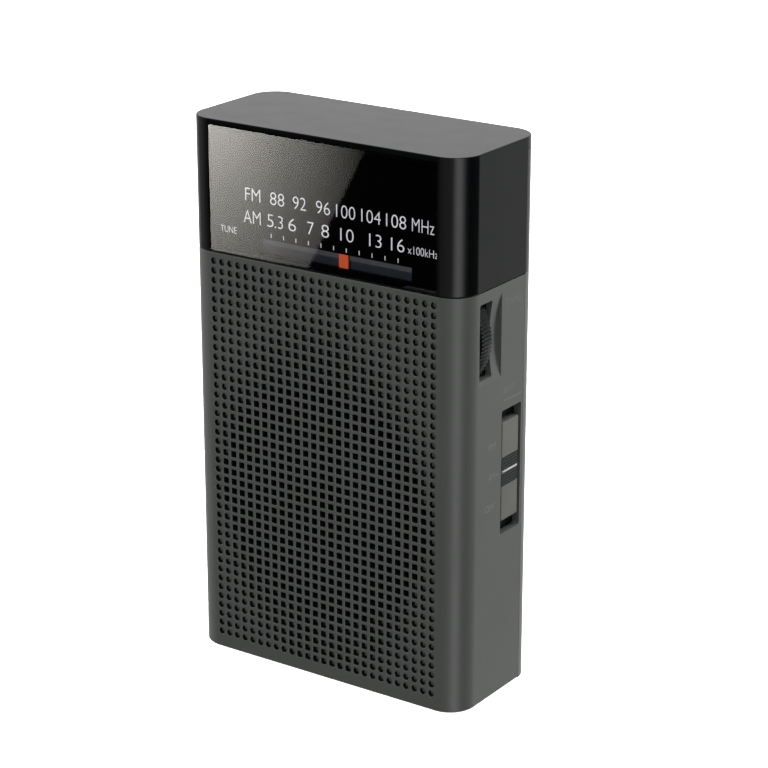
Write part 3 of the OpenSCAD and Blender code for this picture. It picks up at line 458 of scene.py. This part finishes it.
MAT["cord_fibre"] = moulded("cord_fibre", tone(206, 200, 184), 0.8, grain=5000, depth=0.02 * MM)
MAT["screw_black"] = metal("screw_black", tone(58, 58, 60), 0.4)
MAT["brass"] = metal("brass", tone(196, 158, 84), 0.25)
MAT["steel"] = metal("steel", tone(186, 188, 190), 0.28)
MAT["chromed_brass"] = metal("chromed_brass", tone(214, 215, 218), 0.1, (0.15, 6, 6))
MAT["copper_wire"] = metal("copper_wire", tone(176, 94, 46), 0.35, (6, 0.3, 0.3))


def felt_material():
    """Woven speaker cloth: threads both ways."""
    n = Nodes("felt")
    waves = []
    for turn in ((0, 0, 0), (0, math.pi / 2, 0)):
        mapping = n.new("ShaderNodeMapping")
        mapping.inputs["Rotation"].default_value = turn
        n.link(n.coords, mapping.inputs["Vector"])
        wave = n.new("ShaderNodeTexWave")
        wave.inputs["Scale"].default_value = 700
        n.link(mapping.outputs["Vector"], wave.inputs["Vector"])
        waves.append(wave.outputs["Fac"])
    both = n.new("ShaderNodeMath", operation="MAXIMUM")
    n.link(waves[0], both.inputs[0])
    n.link(waves[1], both.inputs[1])
    n.colour(n.ramp(both.outputs["Value"], ((0.2, tone(4, 4, 4)), (0.9, tone(17, 17, 18)))))
    n.set(Roughness=0.95)
    n.bump(both.outputs["Value"], 0.05 * MM)
    return n.material


def board_material():
    """Solder mask with copper tracks showing through as paler lanes."""
    n = Nodes("board_green")
    mapping = n.new("ShaderNodeMapping")
    mapping.inputs["Rotation"].default_value = (math.pi / 2, 0, 0)
    n.link(n.coords, mapping.inputs["Vector"])
    brick = n.new("ShaderNodeTexBrick")
    brick.inputs["Scale"].default_value = 160
    brick.inputs["Mortar Size"].default_value = 0.12
    brick.inputs["Color1"].default_value = tone(26, 84, 46)
    brick.inputs["Color2"].default_value = tone(30, 92, 50)
    brick.inputs["Mortar"].default_value = tone(44, 118, 66)
    n.link(mapping.outputs["Vector"], brick.inputs["Vector"])
    n.colour(brick.outputs["Color"])
    n.set(Roughness=0.35)
    n.rough(n.spread(n.noise(300), 0.28, 0.42))
    n.bump(brick.outputs["Fac"], 0.03 * MM)
    return n.material


def pane_material(name, sheen):
    """Clear acrylic as a thin pane: what is behind it shows, with a sharp sheen in front."""
    n = Nodes(name)
    clear = n.new("ShaderNodeBsdfTransparent")
    clear.inputs["Color"].default_value = (0.95, 0.95, 0.96, 1)
    gloss = n.new("ShaderNodeBsdfGlossy")
    n.link(n.spread(n.noise(60, 3), 0.02, 0.035), gloss.inputs["Roughness"])
    fresnel = n.new("ShaderNodeFresnel")
    fresnel.inputs["IOR"].default_value = sheen
    mix = n.new("ShaderNodeMixShader")
    n.link(fresnel.outputs["Fac"], mix.inputs["Fac"])
    n.link(clear.outputs["BSDF"], mix.inputs[1])
    n.link(gloss.outputs["BSDF"], mix.inputs[2])
    out = n.tree.nodes["Material Output"]
    n.link(mix.outputs["Shader"], out.inputs["Surface"])
    n.tree.nodes.remove(n.shader)
    return n.material


def print_material(name, base):
    """Screen-printed ink: almost even, with slight thin spots."""
    n = Nodes(name)
    thin = tuple(c * 0.86 for c in base[:3]) + (1,)
    n.colour(n.ramp(n.noise(1800, 3), ((0.25, thin), (0.6, base))))
    n.rough(n.spread(n.noise(900), 0.4, 0.55))
    n.bump(n.noise(4000, 2), 0.002 * MM)
    return n.material


MAT["felt"] = felt_material()
MAT["board_green"] = board_material()
MAT["window_acrylic"] = pane_material("window_acrylic", 1.49)
MAT["window_inside"] = pane_material("window_inside", 1.02)
MAT["ink"] = print_material("ink", tone(250, 251, 252))
MAT["index_ink"] = print_material("index_ink", tone(196, 197, 194))
MAT["faint_ink"] = print_material("faint_ink", tone(97, 99, 97))


def two_tone_material():
    """The rear moulding: satin grey below the seam's height and black above it."""
    n = Nodes("two_tone_rear")
    place_z = n.new("ShaderNodeSeparateXYZ")
    n.link(n.coords, place_z.inputs["Vector"])
    above = n.new("ShaderNodeMath", operation="GREATER_THAN")
    above.inputs[1].default_value = (lower_high.z + cap_low.z) / 2 + 0.9 * MM
    n.link(place_z.outputs["Z"], above.inputs[0])
    grey = n.ramp(n.noise(5200, 2, 0.7), ((0.35, tone(71, 73, 71)), (0.65, tone(75, 77, 75))))
    black = n.ramp(n.noise(45, 4), ((0.3, tone(7, 8, 9)), (0.7, tone(10, 11, 12))))
    mix = n.new("ShaderNodeMix", data_type="RGBA")
    n.link(above.outputs["Value"], mix.inputs["Factor"])
    n.link(grey, mix.inputs["A"])
    n.link(black, mix.inputs["B"])
    n.colour(mix.outputs["Result"])
    n.rough(n.spread(above.outputs["Value"], 0.33, 0.15, 0, 1))
    n.bump(n.noise(2600, 2), 0.001 * MM)
    return n.material


def rail_material():
    """The pointer's rail: a paler ledge above a channel whose colour is darker, as painted shade."""
    n = Nodes("rail_grey")
    place_z = n.new("ShaderNodeSeparateXYZ")
    n.link(n.coords, place_z.inputs["Vector"])
    # Painted shade: below 93.3 mm the rail takes a darker colour that stands for the channel's shade.
    above_painted_shade = n.spread(place_z.outputs["Z"], 0, 1, 93.3 * MM, 93.5 * MM)
    mix = n.new("ShaderNodeMix", data_type="RGBA")
    n.link(above_painted_shade, mix.inputs["Factor"])
    n.link(n.ramp(n.noise(300, 3), ((0.3, tone(36, 38, 45)), (0.7, tone(41, 43, 50)))),
           mix.inputs["A"])
    n.link(n.ramp(n.noise(300, 3), ((0.3, tone(70, 70, 74)), (0.7, tone(76, 76, 80)))),
           mix.inputs["B"])
    n.colour(mix.outputs["Result"])
    n.rough(n.spread(n.noise(400, 3), 0.45, 0.6))
    n.bump(n.noise(2600, 2), 0.003 * MM)
    return n.material


MAT["rail_grey"] = rail_material()
MAT["two_tone_rear"] = two_tone_material()

# Every CAD node that stays takes the material of its slot.
slot_of = {part["node"]: part["material_slot"] for part in frame["record"]["subparts"]}
for node_name, node_object in nodes.items():
    node_object.data.materials.clear()
    node_object.data.materials.append(MAT[slot_of[node_name]])


# ---------------------------------------------------------------- cabinet

def outline(inset):
    return rounded_rect(-SIDE_X + inset, SIDE_X - inset, FRONT_Y + inset, REAR_Y - inset,
                        CORNER_R - inset, 16)


def shell_ring(inset, level):
    return place(outline(inset), "z", level)


def edge_rings(low, high, low_edge, high_edge, steps=4):
    """Rings of the cabinet's outline from low to high with the two edges rounded off."""
    rings = []
    for i in range(steps + 1):
        a = math.pi / 2 * i / steps
        rings.append(shell_ring(low_edge * (1 - math.sin(a)), low + low_edge * (1 - math.cos(a))))
    for i in range(steps + 1):
        a = math.pi / 2 * i / steps
        rings.append(shell_ring(high_edge * (1 - math.cos(a)),
                                high - high_edge * (1 - math.sin(a))))
    return rings


def hole_cutters():
    """One mesh that cuts the grille: open squares over the speaker, blind holes round them."""
    pitch, cols, rows, top_row = 2.12 * MM, 27, 41, 88.56 * MM
    speaker_z, open_r = 40 * MM, 26 * MM
    oval_w, oval_h = 27 * MM, 38 * MM
    lip = 0.08 * MM
    inside = FRONT_Y + WALL
    verts, faces = [], []

    def share(value, low, high):
        return min(max((value - low) / (high - low), 0), 1)

    for i in range(cols):
        for j in range(rows):
            x = (i - (cols - 1) / 2) * pitch
            z = top_row - j * pitch
            out = math.hypot(x / oval_w, (z - speaker_z) / oval_h)
            roundness = share(out, 0.9, 1.05)
            half = (0.71 + 0.02 * roundness) * MM
            corner = (0.16 + 0.54 * roundness) * MM

            def shape(grow):
                return rounded_rect(-half - grow, half + grow, -half - grow, half + grow,
                                    corner + grow, 3)

            levels = [(FRONT_Y - lip, shape(2 * lip)), (FRONT_Y + lip, shape(0))]
            if math.hypot(x, z - speaker_z) < open_r:
                levels.append((inside + lip, shape(0)))
            else:
                deep = (1.45 - 0.45 * share(out, 0.8, 1.1)) * MM
                levels.append((FRONT_Y + deep, shape(-0.04 * MM)))
            n, first = len(levels[0][1]), len(verts)
            for y, ring in levels:
                verts.extend(Vector((x + a, y, z + b)) for a, b in ring)
            for m in range(len(levels) - 1):
                for k in range(n):
                    a, b = first + m * n + k, first + m * n + (k + 1) % n
                    faces.append((a, b, b + n, a + n))
            faces.append(tuple(first + k for k in range(n - 1, -1, -1)))
            faces.append(tuple(first + (len(levels) - 1) * n + k for k in range(n)))
    return mesh_object("grille_cutters", verts, faces)


def front_body():
    """The lower front moulding, with its grille, wheel scoop and slots."""
    body = loft("front_body", edge_rings(lower_low.z, lower_high.z, 0.45 * MM, 0.12 * MM))
    inner = loft("inner", [place(outline(WALL), "z", z)
                           for z in (lower_low.z + WALL, lower_high.z + 1 * MM)])
    cut(body, inner)
    cut(body, block("behind", (-0.1, SPLIT_Y, -0.1), (0.1, 0.1, 0.2)))
    cut(body, hole_cutters())
    # finger scoop: a shallow trough that ends in a wall to the rear
    scoop_r, scoop_deep, scoop_z = 43 * MM, 0.95 * MM, 79.8 * MM
    trough = turned("scoop", [(scoop_r, FRONT_Y + 6.5 * MM), (scoop_r, FRONT_Y + 14.7 * MM)],
                    (SIDE_X - scoop_deep + scoop_r, 0, scoop_z), "y", 360)
    cut(body, trough)
    wheel_mid = (wheel_low.z + wheel_high.z) / 2
    slot_shape = rounded_rect(wheel_low.y - 0.38 * MM, wheel_high.y + 0.97 * MM,
                              wheel_mid - 8.1 * MM, wheel_mid + 8 * MM, 0.35 * MM, 4)
    cut(body, loft("wheel_slot", [place(slot_shape, "x", x)
                                  for x in (SIDE_X - 3 * MM, SIDE_X + 1 * MM)]))
    knob_y = (knob_low.y + knob_high.y) / 2
    knob_z = (knob_low.z + knob_high.z) / 2
    slot_shape = rounded_rect(knob_y - 3.75 * MM, knob_y + 3.75 * MM,
                              knob_z - 13.65 * MM, knob_z + 13.65 * MM, 0.5 * MM, 5)
    cut(body, loft("knob_slot", [place(slot_shape, "x", x)
                                 for x in (SIDE_X - 3 * MM, SIDE_X + 1 * MM)]))
    volume_mid = (volume_low.z + volume_high.z) / 2
    slot_shape = rounded_rect(volume_low.y - 0.3 * MM, volume_high.y - 0.9 * MM,
                              volume_mid - 6.7 * MM, volume_mid + 6.7 * MM, 0.35 * MM, 4)
    cut(body, loft("volume_slot", [place(slot_shape, "x", x)
                                   for x in (-SIDE_X - 1 * MM, -SIDE_X + 3 * MM)]))
    jack_y, jack_z = 2.2 * MM, (jack_low.z + jack_high.z) / 2
    cut(body, turned("jack_hole", [(3.3 * MM, -SIDE_X - 1 * MM), (3.3 * MM, -SIDE_X + 3 * MM)],
                     (0, jack_y, jack_z), "x", 48))
    finish_piece(body, CABINET, MAT["grey_body"], ("front_cabinet",))
    paint_hole_shade_and_light(body)
    return body


def paint_hole_shade_and_light(body):
    """Painted shade and painted light in the grille: near-black walls stand for the shade inside the
    holes, and lighter floors stand for the light that reaches the blind holes' floors.
    """
    body.data.materials.append(MAT["hole_wall_painted_shade"])
    body.data.materials.append(MAT["hole_floor_painted_light"])
    for polygon in body.data.polygons:
        p = polygon.center
        if abs(p.x) > 28.5 * MM or not 2.9 * MM < p.z < 89.5 * MM:
            continue
        # Hole walls take the near-black painted shade; hole floors take the lighter painted light.
        if FRONT_Y + 0.1 * MM < p.y < FRONT_Y + WALL - 0.02 * MM:
            polygon.material_index = 2 if abs(polygon.normal.y) > 0.9 else 1


def cap_body():
    """The black cap with the window's pocket."""
    low = cap_low.z + 1.6 * MM
    body = loft("cap_body", edge_rings(low, cap_high.z, 0.1 * MM, 0.28 * MM))
    inner = loft("inner", [place(outline(WALL), "z", z)
                           for z in (low - 1 * MM, cap_high.z - ROOF)])
    cut(body, inner)
    cut(body, block("behind", (-0.1, SPLIT_Y, low - 1 * MM), (0.1, 0.1, cap_high.z - ROOF)))
    gap = 0.1 * MM
    cut(body, block("pocket", (window_low.x - gap, FRONT_Y - 1 * MM, 0),
                    (window_high.x + gap, plate_low.y, window_high.z + gap)))
    cut(body, block("pocket", (window_low.x - gap, FRONT_Y - 1 * MM, 0),
                    (window_high.x + gap, FRONT_Y + WALL + gap, cap_high.z - ROOF)))
    return finish_piece(body, CABINET, MAT["black_cap"], ("upper_cap",))


front_body()
cap_body()


# ---------------------------------------------------------------- dial

def window_pane():
    pane = slab("window_pane", (window_low.x, window_high.x), (window_low.z, window_high.z),
                (window_low.y, window_high.y), "y", 0.15 * MM, 0.08 * MM, 3)
    finish_piece(pane, CABINET, MAT["window_acrylic"], ("dial_window",))
    pane.data.materials.append(MAT["window_inside"])
    for polygon in pane.data.polygons:
        if polygon.center.y > window_low.y + 0.1 * MM:
            polygon.material_index = 1
    return pane


def lettering(text, x, base, high, ink_y):
    """Printed letters on a face towards -Y, fitted between x[0] and x[1]."""
    depth = 0.02 * MM
    return fitted_text(text, x, base, high, lambda u, v, w: Vector((u, ink_y - w * depth, v)))


def fitted_text(text, span, base, high, put):
    curve = bpy.data.curves.new("letters", "FONT")
    curve.body = text
    curve.extrude = 0.5
    curve.offset = -0.012
    curve.resolution_u = 6
    holder = bpy.data.objects.new("letters", curve)
    bpy.context.scene.collection.objects.link(holder)
    bpy.context.view_layer.update()
    graph = bpy.context.evaluated_depsgraph_get()
    mesh = bpy.data.meshes.new_from_object(holder.evaluated_get(graph), depsgraph=graph)
    bpy.data.objects.remove(holder)
    bpy.data.curves.remove(curve)
    xs = [v.co.x for v in mesh.vertices]
    ys = [v.co.y for v in mesh.vertices]
    x0, x1, y0, y1 = min(xs), max(xs), min(ys), max(ys)
    for v in mesh.vertices:
        u = span[0] + (v.co.x - x0) / (x1 - x0) * (span[1] - span[0])
        w = base + (v.co.y - y0) / (y1 - y0) * high
        v.co = put(u, w, v.co.z + 0.5)
    bm = bmesh.new()
    bm.from_mesh(mesh)
    bmesh.ops.remove_doubles(bm, verts=bm.verts, dist=0.001 * MM)
    bmesh.ops.recalc_face_normals(bm, faces=bm.faces)
    bm.to_mesh(mesh)
    bm.free()
    return new_object("letters", mesh)


def dial_print():
    """Generic scale numbers, band names and tick marks."""
    left = -SIDE_X
    ink_y = plate_low.y
    pieces = []
    rows = (
        (16.4, 2.7, (("FM", 14.4, 18.3), ("88", 20.8, 24.4), ("92", 26.6, 29.9),
                     ("96", 32.4, 35.9), ("100", 37.4, 42.1), ("104", 43.6, 48.3),
                     ("108", 49.6, 54.4), ("MHz", 55.8, 61.1))),
        (21.2, 2.7, (("AM", 13.9, 18.3), ("5", 20.0, 21.6), ("6", 25.4, 27.3),
                     ("7", 30.2, 31.8), ("8", 33.7, 35.6), ("10", 38.4, 41.7),
                     ("13", 45.5, 48.5), ("16", 50.8, 54.0))),
        (21.2, 2.7, ((".3", 21.9, 24.0),)),
        (21.2, 1.7, (("x100kHz", 54.8, 62.0),)),
        (24.1, 1.4, (("TUNE", 7.8, 12.0),)),
    )
    for depth, high, words in rows:
        for text, x0, x1 in words:
            pieces.append(lettering(text, (left + x0 * MM, left + x1 * MM),
                                    TOP_Z - depth * MM, high * MM, ink_y))
    for i in range(11):
        x = left + (20.95 + 3.155 * i) * MM
        pieces.append(block("tick", (x - 0.1 * MM, ink_y - 0.02 * MM, TOP_Z - 23.5 * MM),
                            (x + 0.1 * MM, ink_y, TOP_Z - 22.6 * MM)))
    return finish_piece(join(pieces, "dial_print"), CABINET, MAT["ink"], ())


pane_piece = window_pane()
print_piece = dial_print()


# ---------------------------------------------------------------- wheels, knob and side marks

def middle(low, high):
    return (low + high) / 2


def thumb_wheels():
    centre = middle(wheel_low, wheel_high)
    wheel = ridged_wheel("tuning_thumb_wheel", centre, (wheel_high.x - wheel_low.x) / 2,
                         (wheel_low.y, wheel_high.y), 100, 0.28 * MM, 2.52 * MM,
                         11 * MM, 0.5 * MM)
    finish_piece(wheel, "tuning", MAT["wheel_black"], ("tuning_wheel",))
    centre = middle(volume_low, volume_high)
    front, rear = volume_low.y, volume_low.y + 2.4 * MM
    wheel = ridged_wheel("volume_thumb_wheel", centre, (volume_high.x - volume_low.x) / 2,
                         (front, rear), 66, 0.28 * MM, 0.85 * MM, 6.5 * MM, 0.35 * MM)
    hub = tube("hub", [(0.85 * MM, rear - 0.6 * MM), (1.5 * MM, rear - 0.6 * MM),
                       (1.5 * MM, volume_high.y - 0.15 * MM),
                       (1.35 * MM, volume_high.y), (0.85 * MM, volume_high.y)],
               centre, "y", 40)
    wheel = join([wheel, hub], "volume_thumb_wheel")
    finish_piece(wheel, "volume", MAT["wheel_black"], ("volume_wheel",))


def band_knob():
    """The sliding knob: a proud bar with two ribbed pads and an index line between them."""
    face, flange = knob_high.x, 32.4 * MM
    mid_y, mid_z = middle(knob_low.y, knob_high.y), middle(knob_low.z, knob_high.z)
    half_y, half_z = 3.2 * MM, 10.9 * MM
    knob = slab("band_knob", (mid_y - half_y, mid_y + half_y), (mid_z - half_z, mid_z + half_z),
                (flange - 0.4 * MM, face), "x", 0.45 * MM, 0.28 * MM, 6)
    for side in (-1, 1):
        for i in range(5):
            z = mid_z + side * (0.55 + 0.62 * i) * MM
            groove = rounded_rect(face - 0.25 * MM, face + 0.5 * MM,
                                  z - 0.17 * MM, z + 0.17 * MM, 0.12 * MM, 4)
            rings = [[Vector((a, y, b)) for a, b in groove]
                     for y in (mid_y - half_y - 1 * MM, mid_y + half_y + 1 * MM)]
            cut(knob, loft("groove", rings))
    finish_piece(knob, "band", MAT["knob_grey"], ("band_switch_knob",), 40)
    # Painted shade: the ribbed pads take the darker material, deepening the shade that the cut grooves
    # cast.
    knob.data.materials.append(MAT["knob_dark"])
    for polygon in knob.data.polygons:
        near = abs(polygon.center.z - mid_z)
        if 0.3 * MM < near < 3.3 * MM and polygon.center.x > face - 0.3 * MM:
            polygon.material_index = 1
    line = slab("knob_index_line", (mid_y - half_y + 0.5 * MM, mid_y + half_y - 0.5 * MM),
                (mid_z - 0.1 * MM, mid_z + 0.1 * MM), (face - 0.1 * MM, face + 0.03 * MM),
                "x", 0.06 * MM, 0.02 * MM, 3)
    finish_piece(line, "band", MAT["index_ink"], ())
    base = slab("knob_flange", (knob_low.y, knob_high.y), (knob_low.z, knob_high.z),
                (31.3 * MM, flange), "x", 0.4 * MM, 0.1 * MM, 4)
    prongs = [base]
    for side in (-1, 1):
        z = sorted((mid_z + side * 1.1 * MM, mid_z + side * 2.4 * MM))
        prongs.append(slab("prong", (2.4 * MM, 5.6 * MM), z, (knob_low.x, 31.5 * MM), "x",
                           0.2 * MM, 0.12 * MM, 3))
    finish_piece(join(prongs, "knob_flange"), "band", MAT["flange_black"], ())


def side_marks():
    """Generic control names pressed into the right side in faint ink."""
    def put(text, y0, y1, base, high):
        return fitted_text(text, (FRONT_Y + y0 * MM, FRONT_Y + y1 * MM), base * MM, high * MM,
                           lambda u, v, w: Vector((SIDE_X + 0.012 * MM * (w - 0.2), u, v)))

    def bar(y0, y1, z, half):
        return block("bar", (SIDE_X - 0.01 * MM, FRONT_Y + y0 * MM, (z - half) * MM),
                     (SIDE_X + 0.01 * MM, FRONT_Y + y1 * MM, (z + half) * MM))

    pieces = [put("TUNING", 16.2, 21.9, 85.5, 1.5), put("BAND", 15.9, 20, 66.9, 1.3),
              bar(16, 23, 65.3, 0.09)]
    for text, z in (("FM", 56.7), ("AM", 50.0), ("OFF", 43.3)):
        width = 2.6 if len(text) == 2 else 3.7
        pieces.append(put(text, 13 - width, 13, z - 0.75, 1.5))
    pieces.append(bar(13.5, 14.3, 49.8, 0.12))
    finish_piece(join(pieces, "side_marks"), CABINET, MAT["faint_ink"], ())


thumb_wheels()
band_knob()
side_marks()


# ---------------------------------------------------------------- aerial

def aerial():
    """The telescopic mast: drawn tubes with rolled mouths, a crimp behind each, and a tip."""
    tip_low, tip_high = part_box("antenna_tip")
    centre = middle(tip_low, tip_high)
    wall = 0.34 * MM
    for i in range(6):
        node = f"antenna_section_{i + 1}"
        low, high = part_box(node)
        r = (high.z - low.z) / 2
        x0, x1 = low.x, high.x
        soft = 0.13 * MM
        outside = [(r - soft, x1), (r - 0.3 * soft, x1 - 0.3 * soft), (r, x1 - soft),
                   (r, x0 + 2.3 * MM), (r - 0.07 * MM, x0 + 2.1 * MM),
                   (r - 0.07 * MM, x0 + 1.6 * MM), (r, x0 + 1.4 * MM), (r, x0 + soft),
                   (r - 0.3 * soft, x0 + 0.3 * soft), (r - soft, x0)]
        if i < 5:
            inside = [(r - wall + 0.06 * MM, x0), (r - wall, x0 + soft), (r - wall, x1)]
            tube_piece = tube(f"mast_tube_{i + 1}", outside + inside, centre, "x", 48)
        else:
            tube_piece = turned(f"mast_tube_{i + 1}", outside, centre, "x", 48)
        finish_piece(tube_piece, f"mast_{i + 1}", MAT["chromed_brass"], (node,),
                     40)
    r = (tip_high.z - tip_low.z) / 2
    x0, x1 = tip_low.x, tip_high.x
    profile = [(0.6 * r, x1), (0.86 * r, x1 - 0.08 * MM), (0.97 * r, x1 - 0.3 * MM),
               (r, x1 - 0.6 * MM), (r, x1 - 1.0 * MM), (0.93 * r, x1 - 1.1 * MM),
               (0.93 * r, x1 - 1.3 * MM), (r, x1 - 1.4 * MM), (r, x0 + 0.9 * MM),
               (0.97 * r, x0 + 0.5 * MM), (0.88 * r, x0 + 0.2 * MM), (0.7 * r, x0 + 0.04 * MM),
               (0.45 * r, x0)]
    finish_piece(turned("mast_tip", profile, centre, "x", 48), "mast_6",
                 MAT["chromed_brass"], ("antenna_tip",), 40)


aerial()


# ---------------------------------------------------------------- other moulded and metal parts

body_of_node = {node: body for body, members in frame["record"]["behaviour"]["bodies"].items()
                for node in members}
SOFTENED = (("rear_cabinet", 0.14), ("battery_door", 0.14), ("antenna_swivel", 0.1),
            ("antenna_knuckle", 0.1), ("cabinet_screws", 0.06), ("earphone_jack", 0.08),
            ("dial_pointer", 0.06))
softened_parts = {}
for node_name, width in SOFTENED:
    material = MAT["two_tone_rear"] if node_name == "rear_cabinet" else MAT[slot_of[node_name]]
    softened_parts[node_name] = finish_piece(
        softened(node_name, width * MM), body_of_node[node_name], material,
        (node_name,), 36)

for node_object in nodes.values():
    mesh = node_object.data
    mesh.polygons.foreach_set("use_smooth", [True] * len(mesh.polygons))
    mesh.set_sharp_from_angle(angle=math.radians(34))


# ---------------------------------------------------------------- stage

def set_floor():
    floor = mesh_object("floor", [(-6, -6, 0), (6, -6, 0), (6, 6, 0), (-6, 6, 0)],
                        [(0, 1, 2, 3)])
    n = Nodes("floor_paper")
    n.colour(n.ramp(n.noise(8, 3), ((0.3, tone(250, 250, 250)), (0.7, tone(253, 253, 253)))))
    n.set(Roughness=1.0, Specular_IOR_Level=0.0, Emission_Strength=0.5,
          Emission_Color=(1, 1, 1, 1))
    floor.data.materials.append(n.material)
    floor.visible_glossy = False
    floor.visible_diffuse = False


def set_backdrop():
    """A plain white wall far round the floor, seen but casting no light of its own."""
    wall = turned("backdrop", [(5, -0.01), (5, 4)], (0, 0, 0), "z", 96, False)
    n = Nodes("backdrop_white")
    n.set(Emission_Strength=1.0, Emission_Color=(1, 1, 1, 1))
    n.colour(n.ramp(n.noise(3, 2), ((0.3, tone(250, 250, 250)), (0.7, tone(253, 253, 253)))))
    wall.data.materials.append(n.material)
    for flag in ("glossy", "diffuse", "transmission", "volume_scatter", "shadow"):
        setattr(wall, "visible_" + flag, False)


def set_world():
    """A dim studio round the object: black flags, soft panels and one tall strip light."""
    world = bpy.data.worlds.new("studio")
    world.use_nodes = True
    tree = world.node_tree
    background = tree.nodes["Background"]
    coords = tree.nodes.new("ShaderNodeTexCoord")
    split = tree.nodes.new("ShaderNodeSeparateXYZ")
    tree.links.new(coords.outputs["Generated"], split.inputs["Vector"])
    turn = tree.nodes.new("ShaderNodeMath")
    turn.operation = "MULTIPLY"
    turn.inputs[1].default_value = -1
    tree.links.new(split.outputs["Y"], turn.inputs[0])
    angle = tree.nodes.new("ShaderNodeMath")
    angle.operation = "ARCTAN2"
    tree.links.new(split.outputs["X"], angle.inputs[0])
    tree.links.new(turn.outputs["Value"], angle.inputs[1])
    share = tree.nodes.new("ShaderNodeMapRange")
    share.inputs["From Min"].default_value = -math.pi
    share.inputs["From Max"].default_value = math.pi
    tree.links.new(angle.outputs["Value"], share.inputs["Value"])
    ramp = tree.nodes.new("ShaderNodeValToRGB")
    tree.links.new(share.outputs["Result"], ramp.inputs["Fac"])
    levels = ((-180, 0.75), (-145, 0.76), (-125, 0.7), (-95, 0.3), (-84, 0.2), (-74, 0.24),
              (-64, 0.2), (-54, 0.11), (-45, 0.08), (-38, 0.02), (-34, 0.003), (-30, 0.02),
              (-20, 0.15), (0, 0.2),
              (20, 0.24), (27, 0.35), (38, 1.2), (45, 1.6), (51, 1.7), (57, 1.6),
              (64, 1.1), (77, 0.25), (85, 0.06), (97, 0.01), (137, 0.01), (144, 0.36),
              (152, 0.42), (180, 0.75))
    elements = ramp.color_ramp.elements
    while len(elements) < len(levels):
        elements.new(0.5)
    top = 1.75
    for element, (degrees, level) in zip(elements, levels):
        element.position = (degrees + 180) / 360
        cool = 1.0 + 0.06 * (level > 1.0 and degrees < 0)
        element.color = (level / top, level / top, level * cool / top, 1)
    tree.links.new(ramp.outputs["Color"], background.inputs["Color"])
    background.inputs["Strength"].default_value = top
    bpy.context.scene.world = world
    bpy.context.scene.view_settings.view_transform = "Standard"


def area_light(name, place_at, target, size, power):
    data = bpy.data.lights.new(name, "AREA")
    data.shape = "RECTANGLE"
    data.size, data.size_y = size
    data.energy = power
    lamp = bpy.data.objects.new(name, data)
    bpy.context.scene.collection.objects.link(lamp)
    lamp.location = place_at
    aim = Vector(target) - Vector(place_at)
    lamp.rotation_euler = aim.to_track_quat("-Z", "Y").to_euler()
    return lamp


def set_camera():
    data = bpy.data.cameras.new("camera")
    data.lens = 120.06
    data.sensor_width = 36
    camera = bpy.data.objects.new("camera", data)
    bpy.context.scene.collection.objects.link(camera)
    camera.location = (0.2928, -0.4182, 0.2416)
    forward = Vector((-0.5341, 0.7779, -0.3310))
    camera.rotation_euler = forward.to_track_quat("-Z", "Y").to_euler()
    bpy.context.scene.camera = camera


def window_card(pane):
    """A small lit card in front that shows as a soft sheen in the window's left part."""
    z = (0.074, 0.0718, 0.0353, 0.033)
    x = (-0.166, -0.0935, -0.113, -0.166)
    card = mesh_object("sheen_card", [(a, -0.1646, b) for a, b in zip(x, z)], [(0, 1, 2, 3)])
    n = Nodes("sheen")
    split = n.new("ShaderNodeSeparateXYZ")
    n.link(n.coords, split.inputs["Vector"])
    across = n.ramp(n.spread(split.outputs["X"], 0, 1, -0.148, -0.0935),
                    ((0.0, (1, 1, 1, 1)), (0.2, (0.8, 0.8, 0.8, 1)),
                     (0.5, (0.41, 0.41, 0.41, 1)), (0.8, (0.16, 0.16, 0.16, 1)),
                     (1.0, (0.02, 0.02, 0.02, 1))))
    up = n.ramp(n.spread(split.outputs["Z"], 0, 1, 0.0345, 0.072),
                ((0.0, (0.36, 0.36, 0.36, 1)), (0.55, (0.66, 0.66, 0.66, 1)),
                 (1.0, (1, 1, 1, 1))))
    level = n.new("ShaderNodeMix", data_type="RGBA", blend_type="MULTIPLY")
    level.inputs["Factor"].default_value = 1
    n.link(across, level.inputs["A"])
    n.link(up, level.inputs["B"])
    glow = n.new("ShaderNodeEmission")
    glow.inputs["Strength"].default_value = 13
    warm = n.new("ShaderNodeMix", data_type="RGBA", blend_type="MULTIPLY")
    warm.inputs["Factor"].default_value = 1
    warm.inputs["B"].default_value = (1, 0.97, 0.9, 1)
    n.link(level.outputs["Result"], warm.inputs["A"])
    n.link(warm.outputs["Result"], glow.inputs["Color"])
    n.link(glow.outputs["Emission"], n.tree.nodes["Material Output"].inputs["Surface"])
    n.tree.nodes.remove(n.shader)
    card.data.materials.append(n.material)
    card.visible_camera = False
    card.visible_diffuse = False
    card.visible_shadow = False
    lit = bpy.data.collections.new("lit_by_card")
    lit.objects.link(pane)
    card.light_linking.receiver_collection = lit


set_floor()
set_backdrop()
set_world()
set_camera()
window_card(pane_piece)
SOFT_LIGHTS = (("overhead", (0.0, -0.1, 1.0), 1.2, 20), ("front_soft", (0.05, -0.9, 0.25), 0.3, 0.3),
               ("left_soft", (-0.9, -0.1, 0.2), 0.4, 14), ("rear_right_soft", (0.48, 0.76, 0.2), 0.4, 16))
for name, spot, size, power in SOFT_LIGHTS:
    lamp = area_light(name, spot, (0, 0, 0.05), (size, size), power)
    lamp.visible_glossy = False
dial_lamp = area_light("dial_soft", (0.05, -0.9, 0.3), (0, 0, 0.105), (0.2, 0.2), 6)
dial_lamp.visible_glossy = False
dial_parts = bpy.data.collections.new("lit_by_dial_soft")
for part in (print_piece, softened_parts["dial_pointer"], nodes["dial_chassis"]):
    dial_parts.objects.link(part)
dial_lamp.light_linking.receiver_collection = dial_parts
